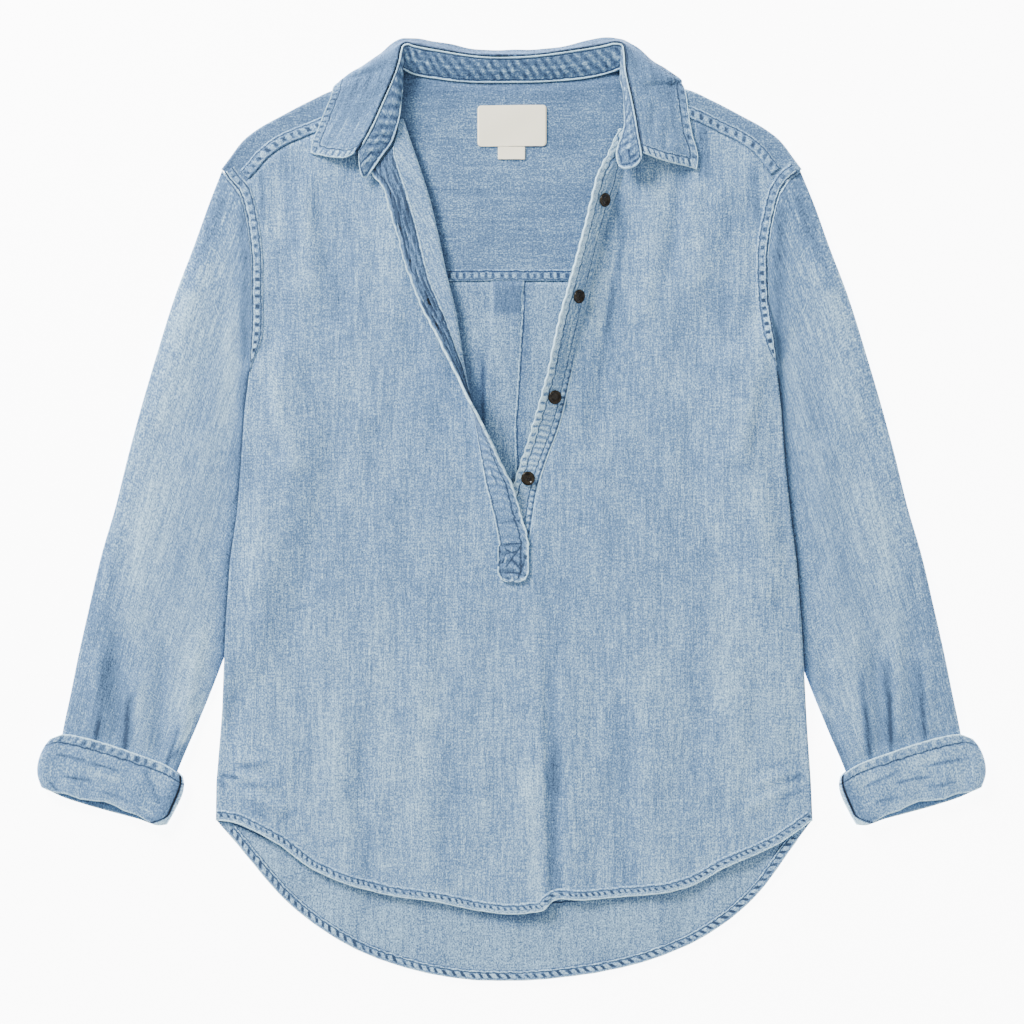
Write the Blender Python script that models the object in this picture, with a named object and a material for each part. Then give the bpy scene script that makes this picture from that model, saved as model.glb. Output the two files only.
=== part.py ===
"""Light-wash denim popover shirt with turned-up sleeves, laid flat and face up on a surface.

The tables are in millimetres: x to the right and y towards the collar as the front is looked at,
z up from the surface. "left" and "right" are also as the front is looked at. Every cloth piece is
a wall of even thickness around a sheet of points, or around a flattened tube of rings.
"""

import math

import bpy
import numpy as np

MM = 0.001

# Walls: one layer of denim, and the folded and sewn layers of the trimmings.
CLOTH = 1.2
PLACKET_WALL = 2.0
STAND_WALL = 2.0
LEAF_WALL = 1.6
CUFF_WALL = 2.4
LABEL_WALL = 0.6
SEAM_GAP = 0.35

# Heights of the middle of each layer above the surface.
BACK_Z = CLOTH / 2
SLEEVE_UNDER_BODY = 4.0
SLEEVE_TOP = 6.2
BODY_OVER_SLEEVE = 4.6
BODY_OVER_COLLAR = 1.9
PANEL_STEP = CLOTH + 0.4
PANEL_GAP = 2.6
NECK_RISE = 0.4
ON_FRONT = CLOTH / 2 + 0.3 + PLACKET_WALL / 2
CUFF_TOP = 8.6

# The middle of the whole shirt in the tables' own frame.
CENTRE_X = 0.0
CENTRE_Y = -0.16

# Half widths of the body: y, left, right.
SIDE_SEAM = (
    (-264.9, 250.3, 256.3),
    (-232.9, 251.0, 255.0),
    (-169.2, 246.1, 250.5),
    (-94.2, 242.7, 246.0),
    (-44.2, 239.1, 242.0),
    (0.0, 232.7, 236.5),
    (44.2, 229.4, 232.0),
    (85.9, 226.6, 229.0),
    (117.0, 222.4, 225.3),
)
ARMHOLE = (
    (117.0, 222.4, 225.3),
    (132.0, 221.6, 224.6),
    (155.0, 220.6, 221.3),
    (183.0, 220.6, 218.3),
    (216.0, 221.1, 217.7),
    (238.0, 223.3, 220.2),
    (255.0, 226.5, 223.8),
    (269.0, 230.8, 227.8),
    (281.4, 240.5, 236.4),
    (288.6, 246.6, 246.1),
)
# The shoulder's fold from the tip to the neck: half width, y.
SHOULDER = (
    (246.4, 288.6),
    (240.5, 296.7),
    (226.5, 314.7),
    (215.5, 323.0),
    (195.9, 334.0),
    (171.3, 346.8),
    (151.0, 355.6),
    (138.0, 358.5),
    (118.0, 364.0),
    (95.0, 372.6),
)
# The seam of the yoke on the front: half width, y on the left, y on the right.
FRONT_YOKE_SEAM = (
    (231.5, 271.0, 271.0),
    (219.0, 285.5, 287.0),
    (205.0, 301.0, 303.5),
    (192.0, 309.8, 312.5),
    (177.0, 316.0, 320.0),
    (159.0, 323.0, 328.5),
    (128.0, 331.5, 339.0),
    (95.0, 332.2, 346.0),
)
BACK_YOKE_Y = 194.0
# The back's neckline, left to right: x, y.
NECKLINE = (
    (-95.0, 372.6),
    (-81.0, 367.5),
    (-60.0, 364.8),
    (-25.0, 362.0),
    (17.0, 362.5),
    (52.0, 364.5),
    (80.0, 369.5),
    (95.0, 372.6),
)
FRONT_HEM = (
    (-250.3, -264.9),
    (-240.5, -266.0),
    (-201.6, -282.9),
    (-168.3, -306.5),
    (-115.6, -325.9),
    (-60.0, -334.2),
    (-18.4, -343.4),
    (17.0, -342.6),
    (32.4, -334.4),
    (83.7, -331.5),
    (139.2, -323.0),
    (180.8, -305.2),
    (222.4, -287.0),
    (256.3, -264.9),
)
BACK_HEM = (
    (-250.3, -264.9),
    (-224.0, -296.7),
    (-185.0, -339.7),
    (-140.7, -370.3),
    (-88.0, -391.0),
    (-32.3, -400.9),
    (0.4, -401.4),
    (56.0, -397.2),
    (111.4, -385.6),
    (167.0, -362.0),
    (205.8, -331.5),
    (236.4, -291.2),
    (256.3, -264.9),
)
# The sleeve lies under the body from the underarm to y = -126: half width, y. First its hidden
# corner, going on from the armhole, then its outer edge from the shoulder and its inner edge.
SLEEVE_CORNER = ((206.0, 93.0), (195.0, 66.0))
SLEEVE_OUTER = (
    (246.8, 288.2),
    (257.1, 260.6),
    (271.0, 221.9),
    (284.9, 185.6),
    (301.6, 132.9),
    (315.4, 85.9),
    (326.6, 44.2),
    (337.6, 0.0),
    (348.9, -38.6),
    (360.0, -85.9),
    (368.1, -121.9),
    (376.5, -163.5),
    (382.0, -190.5),
    (386.5, -222.0),
)
SLEEVE_INNER = (
    (195.0, 66.0),
    (196.5, 35.0),
    (202.0, 5.0),
    (222.3, -60.0),
    (244.6, -126.1),
    (254.6, -152.4),
    (268.2, -185.7),
    (283.5, -221.9),
    (294.0, -250.0),
)
# The edges of the turned-up cuff: half width, y.
CUFF_UPPER = ((392.5, -195.5), (381.0, -191.6), (365.0, -193.6), (344.7, -199.2), (326.3, -205.2),
              (307.9, -211.7), (290.0, -219.5), (279.5, -227.5))
CUFF_LOWER = ((400.0, -236.5), (383.4, -244.8), (363.2, -251.6), (339.2, -258.4), (318.0, -264.0),
              (300.0, -269.3), (293.0, -268.5))
CUFF_OUTER = ((392.5, -195.5), (397.5, -202.0), (403.3, -226.0), (400.0, -236.5))
CUFF_INNER = ((279.5, -227.5), (278.5, -233.0), (287.0, -258.0), (293.0, -268.5))
CUFF_FRONT_SHORTER = 5.5

# The left front edge, top to bottom. It rolls back on itself at the neck and unrolls downwards:
# x and y of its outermost line, how far it then reaches back, how far it turns in degrees, the
# height there of the placket's free edge over the front, and that edge's x and y.
LEFT_EDGE = (
    # x, y, reach, turn, rise, free x, free y
    (-92.4, 331.0, 3.0, 175.0, 4.2, -124.0, 293.5),
    (-89.0, 321.0, 8.5, 178.0, 4.2, -121.6, 289.6),
    (-86.0, 312.0, 15.0, 180.0, 4.2, -118.8, 285.8),
    (-82.8, 303.0, 17.0, 180.0, 4.2, -114.8, 280.2),
    (-78.0, 289.0, 17.2, 180.0, 4.2, -109.8, 274.6),
    (-71.2, 267.8, 17.0, 180.0, 4.2, -104.6, 258.5),
    (-62.8, 233.8, 16.5, 180.0, 4.2, -96.0, 226.5),
    (-55.7, 200.0, 15.5, 180.0, 7.0, -85.0, 193.2),
    (-47.6, 166.9, 10.5, 178.0, 11.0, -71.2, 161.8),
    (-42.8, 136.0, 5.5, 165.0, 16.0, -56.5, 133.0),
    (-38.3, 110.5, 2.5, 130.0, 20.0, -44.5, 109.3),
    (-34.5, 92.0, 2.0, 95.0, 22.0, -36.5, 92.9),
    (-31.0, 76.0, 2.0, 70.0, 21.0, -27.5, 76.5),
    (-28.5, 60.0, 2.0, 45.0, 18.5, -19.3, 60.0),
    (-26.0, 43.0, 2.0, 25.0, 13.5, -11.0, 43.0),
    (-22.5, 21.0, 2.0, 10.0, 7.5, 0.0, 21.4),
    (-18.0, 3.0, 2.0, 4.0, 3.4, 5.8, 2.0),
    (-13.6, -16.5, 2.0, 0.0, 2.2, 11.0, -16.0),
    (-11.0, -30.6, 2.0, 0.0, 1.9, 14.2, -30.6),
)
ROLL_LENGTH = 6.3
# The box that closes the left placket, below the slit: half width, y.
BOX_END = ((13.2, -44.0), (13.4, -54.0), (10.5, -60.0), (5.0, -62.2))
BOX_MIDDLE_X = 1.4

# The right front edge, top to bottom: x and y of the seam line, x and y of the placket's free
# edge, and the height of that edge over the seam.
RIGHT_EDGE = (
    # x, y, free x, free y, rise
    (95.5, 323.0, 92.0, 323.0, 1.0),
    (97.0, 305.0, 84.6, 307.0, 4.0),
    (95.5, 291.0, 76.8, 292.0, 9.0),
    (92.0, 277.0, 70.6, 278.0, 14.0),
    (86.0, 262.0, 67.4, 262.0, 16.5),
    (79.5, 240.0, 62.2, 240.0, 17.0),
    (69.5, 200.0, 51.2, 200.0, 16.5),
    (59.0, 154.0, 38.9, 154.4, 14.5),
    (49.5, 110.0, 29.0, 110.0, 10.0),
    (40.0, 69.1, 17.3, 69.1, 4.6),
    (30.3, 43.1, 8.4, 42.0, 1.6),
    (24.9, 26.9, 3.2, 26.0, 0.0),
    (20.6, 8.5, -2.0, 8.0, -1.2),
    (18.3, -6.8, -3.6, -7.0, -1.4),
    (14.9, -30.2, -3.0, -30.2, -1.4),
)
SLIT_END_Y = -30.6
HEM_Y = SIDE_SEAM[0][0]
YOKE_SEAM_Y = 271.0

# The collar, from the left front end round the back to the right front end: the stand's foot on
# the neck, the seam of stand and leaf, where the leaf passes the outline, and the leaf's outer
# edge, as x, y, z each. "under" is 1 where the leaf folds round the outline and lies below.
COLLAR = (
    # foot x, y, z, seam x, y, z, outline x, y, z, outer x, y, z, under
    (-121.0, 285.8, 10.4, -130.2, 294.4, 13.6, -166.5, 300.2, 7.4, -169.6, 300.4, 7.2, 0),
    (-110.8, 298.6, 10.4, -125.6, 309.0, 14.6, -166.4, 310.6, 7.6, -169.6, 310.8, 7.5, 0),
    (-102.4, 310.4, 10.2, -117.8, 323.0, 15.2, -162.0, 322.0, 8.0, -165.0, 321.5, 7.9, 0),
    (-97.4, 322.8, 13.2, -109.5, 341.2, 15.8, -156.0, 338.5, 8.6, -158.5, 338.0, 8.5, 0),
    (-94.4, 337.6, 12.4, -101.0, 360.8, 16.0, -150.4, 352.5, 9.0, -152.8, 351.8, 9.0, 0),
    (-94.0, 347.0, 10.8, -97.2, 370.5, 16.0, -148.6, 358.8, 8.6, -151.0, 358.8, 8.0, 0),
    (-93.6, 351.5, 9.2, -95.9, 374.7, 16.0, -145.4, 363.4, 5.8, -147.0, 361.4, 0.9, 0),
    (-93.0, 356.0, 9.0, -94.6, 378.8, 16.0, -141.5, 366.4, 5.0, -139.8, 357.0, 0.8, 1),
    (-93.0, 366.0, 8.2, -93.0, 387.5, 15.4, -128.0, 375.0, 5.0, -121.0, 351.5, 0.8, 1),
    (-93.0, 374.8, 6.0, -91.4, 392.0, 14.6, -112.1, 385.8, 4.8, -102.0, 350.0, 0.8, 1),
    (-90.4, 373.4, 4.8, -88.4, 393.2, 14.3, -102.0, 394.4, 4.8, -93.0, 350.0, 0.8, 1),
    (-86.5, 371.4, 3.6, -84.0, 392.0, 13.6, -91.0, 400.0, 4.8, -84.0, 350.0, 0.8, 1),
    (-60.0, 366.0, 3.0, -60.0, 387.6, 12.4, -67.0, 397.3, 4.8, -63.0, 352.0, 0.8, 1),
    (-25.0, 363.2, 3.0, -25.0, 382.7, 12.0, -25.0, 389.9, 4.8, -25.0, 353.5, 0.8, 1),
    (8.0, 363.3, 3.0, 8.0, 382.6, 12.0, 8.0, 389.6, 4.8, 8.0, 353.5, 0.8, 1),
    (52.3, 365.6, 3.0, 52.3, 387.6, 12.4, 50.0, 394.0, 4.8, 50.0, 352.0, 0.8, 1),
    (80.0, 370.4, 3.6, 79.0, 391.9, 13.4, 82.0, 400.4, 4.8, 78.0, 350.0, 0.8, 1),
    (88.6, 373.0, 4.8, 87.6, 393.6, 14.2, 93.5, 399.4, 4.8, 88.0, 350.0, 0.8, 1),
    (93.0, 374.8, 6.0, 93.0, 392.6, 14.6, 104.0, 393.6, 4.8, 98.0, 350.0, 0.8, 1),
    (93.0, 365.0, 8.2, 95.0, 384.0, 15.4, 118.0, 382.0, 4.8, 110.0, 350.5, 0.8, 1),
    (93.0, 355.0, 9.0, 95.8, 372.0, 16.0, 134.2, 371.6, 5.0, 126.0, 352.5, 0.8, 1),
    (93.8, 347.0, 9.4, 98.0, 361.0, 16.4, 144.4, 363.6, 5.2, 142.0, 355.5, 0.8, 1),
    (93.6, 343.4, 9.6, 99.2, 355.4, 16.5, 147.2, 361.2, 5.8, 148.4, 360.2, 0.9, 0),
    (93.8, 339.0, 9.8, 100.6, 349.6, 16.6, 149.4, 357.4, 8.7, 152.0, 358.0, 8.2, 0),
    (94.0, 328.0, 10.6, 104.3, 331.0, 17.0, 148.6, 337.0, 9.0, 151.6, 336.8, 8.9, 0),
    (91.6, 314.0, 12.2, 107.0, 314.5, 17.6, 151.6, 318.4, 8.6, 154.6, 318.2, 8.5, 0),
    (89.0, 301.0, 14.0, 108.8, 305.0, 18.2, 155.2, 300.0, 7.8, 158.0, 299.4, 7.7, 0),
    (89.6, 292.4, 15.0, 109.8, 299.0, 18.4, 153.4, 290.0, 7.4, 156.6, 289.0, 7.3, 0),
)

# Folds in the front: the ends of each, its half width and its height; below zero is a trough.
FRONT_FOLDS = (
    # x, y, x, y, half width, height
    (29.0, -60.0, 31.0, -400.0, 9.0, -1.6),
    (14.0, -90.0, 10.0, -400.0, 16.0, 1.2),
    (48.0, -110.0, 52.0, -400.0, 16.0, 1.0),
    (-185.0, 300.0, -150.0, 170.0, 14.0, 1.0),
    (190.0, 300.0, 150.0, 160.0, 14.0, 1.0),
    (-205.0, 150.0, -120.0, 60.0, 18.0, 1.0),
    (205.0, 150.0, 120.0, 60.0, 18.0, 1.0),
    (86.0, 220.0, 48.0, 60.0, 16.0, 1.0),
)
# Where the body lies on the sleeve: y, half width of the sleeve's hidden edge.
HIDDEN_SLEEVE = ((-200.0, 296.0), (-160.0, 266.0), (-126.0, 243.0), (-60.0, 219.0), (5.0, 198.0),
                 (35.0, 192.0), (66.0, 192.0), (93.0, 200.0), (117.0, 210.0), (132.0, 216.0),
                 (150.0, 236.0), (185.0, 275.0))

# The box pleat in the back, below the yoke: its folded edges at the yoke and where it dies out.
PLEAT_TOP = (-18.0, 11.5)
PLEAT_FOOT = (-27.0, 4.5)
PLEAT_FOOT_Y = 50.0
PLEAT_RISE = 1.3

# Buttons on the right placket, top to bottom: y, share of the placket's width from its free edge.
BUTTON_PLACES = ((262.0, 0.55), (180.0, 0.52), (95.0, 0.53), (26.6, 0.50))
BUTTON_RADIUS = 6.0
# Turned from the middle of the back to the middle of the face: share of radius, height.
BUTTON_PROFILE = ((0.45, 0.0), (0.85, 0.3), (1.0, 1.1), (0.95, 1.9), (0.8, 2.3), (0.62, 1.9))
BUTTON_SIDES = 18
BUTTON_GAP = 0.5

# Labels on the inside of the yoke: left x, right x, lower y, upper y.
MAIN_LABEL = (-30.0, 30.2, 308.8, 344.2)
SIZE_LABEL = (-11.5, 11.5, 297.6, 308.3)

# How finely the pieces are divided.
LOWER_ROWS = 11
UPPER_ROWS = 18
LEFT_STEPS = 16
RIGHT_STEPS = 18
FRONT_ACROSS = 10
SHOULDER_STEPS = 10
NECK_STEPS = 10
FOLD_STEPS = 5
COLLAR_STEP = 13.0
RING_HALF = 14
SLEEVE_RINGS = 14
CUFF_RINGS = 4
BACK_ACROSS = (0.0, 0.03, 0.07, 0.13, 0.2, 0.27, 0.34, 0.41, 0.445, 0.466, 0.49, 0.515, 0.526, 0.536,
               0.57, 0.64, 0.71, 0.78, 0.85, 0.92, 0.965, 1.0)

DENIM = (0.42, 0.56, 0.70)
DENIM_DARK = (0.28, 0.42, 0.58)
DENIM_EDGE = (0.62, 0.72, 0.82)
CREAM = (0.86, 0.84, 0.76)
HORN = (0.08, 0.06, 0.05)


# ---------------------------------------------------------------- curves and sheets


def smooth(share):
    """0 below 0, 1 above 1, and a soft step between."""
    share = np.clip(share, 0.0, 1.0)
    return share * share * (3.0 - 2.0 * share)


def spline(rows, shares):
    """Points at the given shares of the length of a smooth curve through the rows."""
    rows = np.asarray(rows, float)
    steps = np.linalg.norm(np.diff(rows[:, :2], axis=0), axis=1)
    knots = np.concatenate([[0.0], np.cumsum(steps)])
    slopes = np.diff(rows, axis=0) / steps[:, None]
    middle = (slopes[:-1] * steps[1:, None] + slopes[1:] * steps[:-1, None]) / (
        steps[1:] + steps[:-1]
    )[:, None]
    tangents = np.vstack([slopes[:1], middle, slopes[-1:]])
    if rows.shape[1] > 2 and len(slopes) > 1:
        # Heights and other columns never pass beyond their rows.
        low, high = slopes[:-1, 2:], slopes[1:, 2:]
        limit = np.where(low * high > 0, 2 * np.minimum(np.abs(low), np.abs(high)), 0.0)
        tangents[1:-1, 2:] = np.clip(tangents[1:-1, 2:], -limit, limit)
    at = np.asarray(shares, float) * knots[-1]
    span = np.clip(np.searchsorted(knots, at, side="right") - 1, 0, len(steps) - 1)
    size = steps[span]
    t = ((at - knots[span]) / size)[:, None]
    size = size[:, None]
    return (
        (2 * t**3 - 3 * t**2 + 1) * rows[span]
        + (t**3 - 2 * t**2 + t) * size * tangents[span]
        + (3 * t**2 - 2 * t**3) * rows[span + 1]
        + (t**3 - t**2) * size * tangents[span + 1]
    )


def patch(low, high, start, end, across, up):
    """A plan [row][column] between four sampled edges: low and high run with the shares across,
    start and end with the shares up."""
    low, high = low[None, :, :], high[None, :, :]
    start, end = start[:, None, :], end[:, None, :]
    u = np.asarray(across, float)[None, :, None]
    v = np.asarray(up, float)[:, None, None]
    below = (1 - u) * low[:, :1] + u * low[:, -1:]
    above = (1 - u) * high[:, :1] + u * high[:, -1:]
    return (1 - v) * (low - below) + v * (high - above) + (1 - u) * start + u * end


def even(count):
    return np.linspace(0.0, 1.0, count + 1)


def knotted(rows, step):
    """Shares along the rows: every row, and enough between them for steps no longer than this."""
    rows = np.asarray(rows, float)
    spans = np.linalg.norm(np.diff(rows[:, :2], axis=0), axis=1)
    knots = np.concatenate([[0.0], np.cumsum(spans)])
    shares = [0.0]
    for low, span in zip(knots, spans):
        parts = math.ceil(span / step)
        shares += [(low + span * (part + 1) / parts) / knots[-1] for part in range(parts)]
    return np.minimum(shares, 1.0)


def lifted(plan, height):
    """A sheet of 3-D points over a plan, with its height from a function of x and y."""
    return np.concatenate([plan, height(plan[..., 0], plan[..., 1])[..., None]], axis=-1)


class Sheet:
    """Points and four-sided cells, gathered from grids that may share points."""

    def __init__(self):
        self.points = []
        self.cells = []
        self.found = {}

    def add(self, grid):
        """Adds a grid [row][column]. Seen from outside, columns run right and rows run up."""
        index = [[self.index(point) for point in row] for row in grid]
        for low, high in zip(index, index[1:]):
            for i in range(len(low) - 1):
                self.cells.append((low[i], low[i + 1], high[i + 1], high[i]))

    def index(self, point):
        key = tuple(np.round(point, 3))
        if key not in self.found:
            self.found[key] = len(self.points)
            self.points.append(np.asarray(point, float))
        return self.found[key]


def normals_of(points, cells):
    """A unit normal at each point, from the cells around it."""
    normals = np.zeros_like(points)
    for cell in cells:
        corners = points[list(cell)]
        face = np.cross(corners[2] - corners[0], corners[3] - corners[1])
        for corner in cell:
            normals[corner] += face
    return normals / np.linalg.norm(normals, axis=1)[:, None]


def make_object(name, points, faces, colour, roughness=0.85):
    """A mesh object from millimetre points, moved so that the whole shirt is centred."""
    places = (np.asarray(points) - (CENTRE_X, CENTRE_Y, 0.0)) * MM
    mesh = bpy.data.meshes.new(name)
    mesh.from_pydata([tuple(place) for place in places], [], faces)
    mesh.shade_smooth()
    material = bpy.data.materials.new(name)
    material.use_nodes = True
    shader = material.node_tree.nodes["Principled BSDF"]
    shader.inputs["Base Color"].default_value = (*colour, 1.0)
    shader.inputs["Roughness"].default_value = roughness
    shader.inputs["Metallic"].default_value = 0.0
    mesh.materials.append(material)
    piece = bpy.data.objects.new(name, mesh)
    bpy.context.scene.collection.objects.link(piece)
    return piece


def wall(name, sheet, thickness, colour):
    """A closed wall around a sheet, half of its thickness to each side."""
    points = np.array(sheet.points)
    normals = normals_of(points, sheet.cells)
    count = len(points)
    both = np.vstack([points + normals * thickness / 2, points - normals * thickness / 2])
    faces = []
    for a, b, c, d in sheet.cells:
        faces += [(a, b, c), (a, c, d), (count + c, count + b, count + a), (count + d, count + c, count + a)]
    edges = [(cell[i], cell[(i + 1) % 4]) for cell in sheet.cells for i in range(4)]
    inside = set(edges)
    faces += [(b, a, count + a, count + b) for a, b in edges if (b, a) not in inside]
    return make_object(name, both, faces, colour)


def tube(name, outer, inner, colour):
    """A closed wall between two lists of rings, open at both ends."""
    rings, sides = outer.shape[:2]
    points = np.vstack([outer.reshape(-1, 3), inner.reshape(-1, 3)])
    count = rings * sides
    faces = []
    for ring in range(rings - 1):
        for side in range(sides):
            a, b = ring * sides + side, ring * sides + (side + 1) % sides
            c, d = b + sides, a + sides
            faces += [(a, b, c), (a, c, d)]
            faces += [(count + c, count + b, count + a), (count + d, count + c, count + a)]
    last = (rings - 1) * sides
    for side in range(sides):
        a, b = side, (side + 1) % sides
        faces.append((b, a, count + a, count + b))
        faces.append((last + a, last + b, count + last + b, count + last + a))
    return make_object(name, points, faces, colour)


# ---------------------------------------------------------------- heights of the layers


def half_width(y, side):
    """Half width of the body at y, on side -1 (left) or 1 (right)."""
    rows = SIDE_SEAM + ARMHOLE[1:]
    column = 1 if side < 0 else 2
    return np.interp(y, [row[0] for row in rows], [row[column] for row in rows])


def side_points(side, ys):
    """The body's outline on one side at the heights ys, as x and y."""
    ys = np.asarray(ys, float)
    return np.column_stack([side * half_width(ys, side), ys])


def lower_ys():
    return np.linspace(HEM_Y, SLIT_END_Y, LOWER_ROWS + 1)


def upper_ys():
    return np.linspace(SLIT_END_Y, YOKE_SEAM_Y, UPPER_ROWS + 1)


def back_height(x, y):
    """The middle of the back and yoke: flat, but over the sleeve's edge and the collar's leaf."""
    hidden = np.interp(y, [row[0] for row in HIDDEN_SLEEVE], [row[1] for row in HIDDEN_SLEEVE])
    over_sleeve = smooth((np.abs(x) - hidden + 48.0) / 42.0)
    over_collar = smooth((y - 300.0) / 46.0) * smooth((172.0 - np.abs(x)) / 20.0)
    return BACK_Z + BODY_OVER_SLEEVE * over_sleeve + BODY_OVER_COLLAR * over_collar


def pleat_height(x, y):
    """The box pleat's layers under the yoke, which fade out down the back."""
    down = np.clip((BACK_YOKE_Y - y) / (BACK_YOKE_Y - PLEAT_FOOT_Y), 0.0, 1.0)
    left = PLEAT_TOP[0] + (PLEAT_FOOT[0] - PLEAT_TOP[0]) * down
    right = PLEAT_TOP[1] + (PLEAT_FOOT[1] - PLEAT_TOP[1]) * down
    return PLEAT_RISE * (1 - down) * smooth((x - left) / 6.0) * smooth((right - x) / 4.0)


def fold(x, y, x0, y0, x1, y1, reach, height):
    """A soft ridge, or a trough, along a straight line, fading at its ends."""
    dx, dy = x1 - x0, y1 - y0
    length = math.hypot(dx, dy)
    share = ((x - x0) * dx + (y - y0) * dy) / length**2
    off = ((x - x0) * dy - (y - y0) * dx) / length
    return height * np.exp(-((off / reach) ** 2)) * smooth(share / 0.25) * smooth((1 - share) / 0.12)


def front_height(x, y):
    """The middle of the front: it meets the back at the sides and lies a little above it inside."""
    depth = np.where(x < 0, half_width(y, -1) + x, half_width(y, 1) - x)
    inside = smooth(depth / 35.0)
    by_sleeve = smooth((y - 122.0) / 38.0)
    below = back_height(x, y) + PANEL_STEP
    height = below + PANEL_GAP * np.maximum(inside, by_sleeve) + NECK_RISE * smooth((y - 280.0) / 60.0)
    for row in FRONT_FOLDS:
        height = height + inside * fold(x, y, *row)
    return np.maximum(height, below)


def sleeve_heights(x, y, side):
    """The bottom and the top of a sleeve: low under the body, and lifted inside the cuff."""
    outside = np.abs(x) - half_width(y, side)
    free = np.maximum(smooth((outside - 4.0) / 30.0), smooth((y - 135.0) / 25.0))
    high = SLEEVE_UNDER_BODY + (SLEEVE_TOP - SLEEVE_UNDER_BODY) * free
    above_cuff = -(np.abs(x) - 382.5) * 0.313 + (y + 190.9) * 0.95
    in_cuff = smooth((38.0 - above_cuff) / 22.0)
    low = (CUFF_WALL + SEAM_GAP) * in_cuff
    return low, high + (CUFF_TOP - CUFF_WALL - SEAM_GAP - high) * in_cuff


# ---------------------------------------------------------------- the body


def make_back():
    low = [y for y in upper_ys()[1:] if y < BACK_YOKE_Y - 6.0]
    ys = np.array([*lower_ys(), *low, BACK_YOKE_Y])
    up = (ys - ys[0]) / (ys[-1] - ys[0])
    left, right = side_points(-1, ys), side_points(1, ys)
    hem, top = spline(BACK_HEM, BACK_ACROSS), spline([left[-1], right[-1]], BACK_ACROSS)
    plan = patch(hem, top, left, right, BACK_ACROSS, up)
    sheet = Sheet()
    sheet.add(lifted(plan, lambda x, y: back_height(x, y) + pleat_height(x, y)))
    wall("back", sheet, CLOTH, DENIM)


def yoke_seam(side):
    """The yoke's seam on the front, from the armhole to the neck."""
    column = 1 if side < 0 else 2
    seam = np.array([(side * row[0], row[column]) for row in FRONT_YOKE_SEAM])
    seam[0] = side_points(side, [YOKE_SEAM_Y])[0]
    return seam


def shoulder_fold(side):
    """The yoke's fold at a shoulder, [row][column]: rows run from the front over to the back,
    columns from the tip to the neck."""
    line = spline([(side * x, y) for x, y in SHOULDER], even(SHOULDER_STEPS))
    run = np.gradient(line, axis=0)
    out = side * np.stack([run[:, 1], -run[:, 0]], axis=1)
    out /= np.linalg.norm(out, axis=1)[:, None]
    low, high = back_height(*line.T), front_height(*line.T)
    radius = (high - low) / 2
    rows = []
    for turn in np.linspace(0.0, math.pi, FOLD_STEPS + 1):
        plan = line - out * (radius * (1 - math.sin(turn)))[:, None]
        rows.append(np.column_stack([plan, low + radius * (1 + math.cos(turn))]))
    return np.array(rows)


def make_back_yoke():
    """The yoke: the back's upper part, folded over the shoulders down to the front's seams."""
    sheet = Sheet()
    folds = {side: shoulder_fold(side) for side in (-1, 1)}
    across, up = even(SHOULDER_STEPS), even(3)
    for side, rolled in folds.items():
        seam = yoke_seam(side) + (0.0, SEAM_GAP)
        edge = side_points(side, [YOKE_SEAM_Y + SEAM_GAP, 276.0, 281.4])
        tip = np.vstack([edge, rolled[0][:1, :2]])
        neck = spline([seam[-1], rolled[0][-1, :2]], up)
        plan = patch(spline(seam, across), rolled[0][:, :2], tip, neck, across, up)
        grid = np.concatenate([lifted(plan, front_height)[:-1], rolled])
        sheet.add(grid if side < 0 else grid[:, ::-1])
    neck = lifted(spline(NECKLINE, even(NECK_STEPS))[1:-1], back_height)
    top = np.concatenate([folds[-1][-1], neck, folds[1][-1][::-1]])
    across = (top[:, 0] - top[0, 0]) / (top[-1, 0] - top[0, 0])
    middle = [y for y in upper_ys() if BACK_YOKE_Y + 6.0 < y < YOKE_SEAM_Y + 1.0]
    ys = [BACK_YOKE_Y + SEAM_GAP, *middle, 281.4]
    start = np.vstack([side_points(-1, ys), top[:1, :2]])
    end = np.vstack([side_points(1, ys), top[-1:, :2]])
    up = (start[:, 1] - start[0, 1]) / (start[-1, 1] - start[0, 1])
    low = start[0] + across[:, None] * (end[0] - start[0])
    grid = lifted(patch(low, top[:, :2], start, end, across, up), back_height)
    grid[-1] = top
    sheet.add(grid[:, ::-1])
    wall("back_yoke", sheet, CLOTH, DENIM_DARK)


def left_rows():
    """LEFT_EDGE from bottom to top. The placket ends at row LEFT_STEPS, two more are above it."""
    rows = np.array(LEFT_EDGE[::-1])
    steps = np.linalg.norm(np.diff(rows[:, :2], axis=0), axis=1)
    top = steps[:-2].sum() / steps.sum()
    return spline(rows, [*np.linspace(0.0, top, LEFT_STEPS + 1), (1 + top) / 2, 1.0])


def left_turn(rows):
    """The front's rolled left edge, [row][column]: columns run from the flat cloth, round the
    roll, to the placket's seam."""
    run = np.gradient(rows[:, :2], axis=0)
    out = np.stack([run[:, 1], -run[:, 0]], axis=1)
    out /= np.linalg.norm(out, axis=1)[:, None]
    turn = np.radians(np.maximum(rows[:, 3], 1.0))
    radius = ROLL_LENGTH / turn
    start = rows[:, :2] - out * (radius * np.sin(np.minimum(turn, math.pi / 2)))[:, None]
    base = front_height(*start.T)
    columns = []
    for share in even(3):
        plan = start + out * (radius * np.sin(turn * share))[:, None]
        columns.append(np.column_stack([plan, base + radius * (1 - np.cos(turn * share))]))
    flat = np.maximum(rows[:, 2] - radius, 1.0)
    lead = np.column_stack([out * np.cos(turn)[:, None], np.sin(turn)]) * flat[:, None]
    end = columns[-1]
    return np.stack(columns + [end + lead / 2, end + lead], axis=1)


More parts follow.
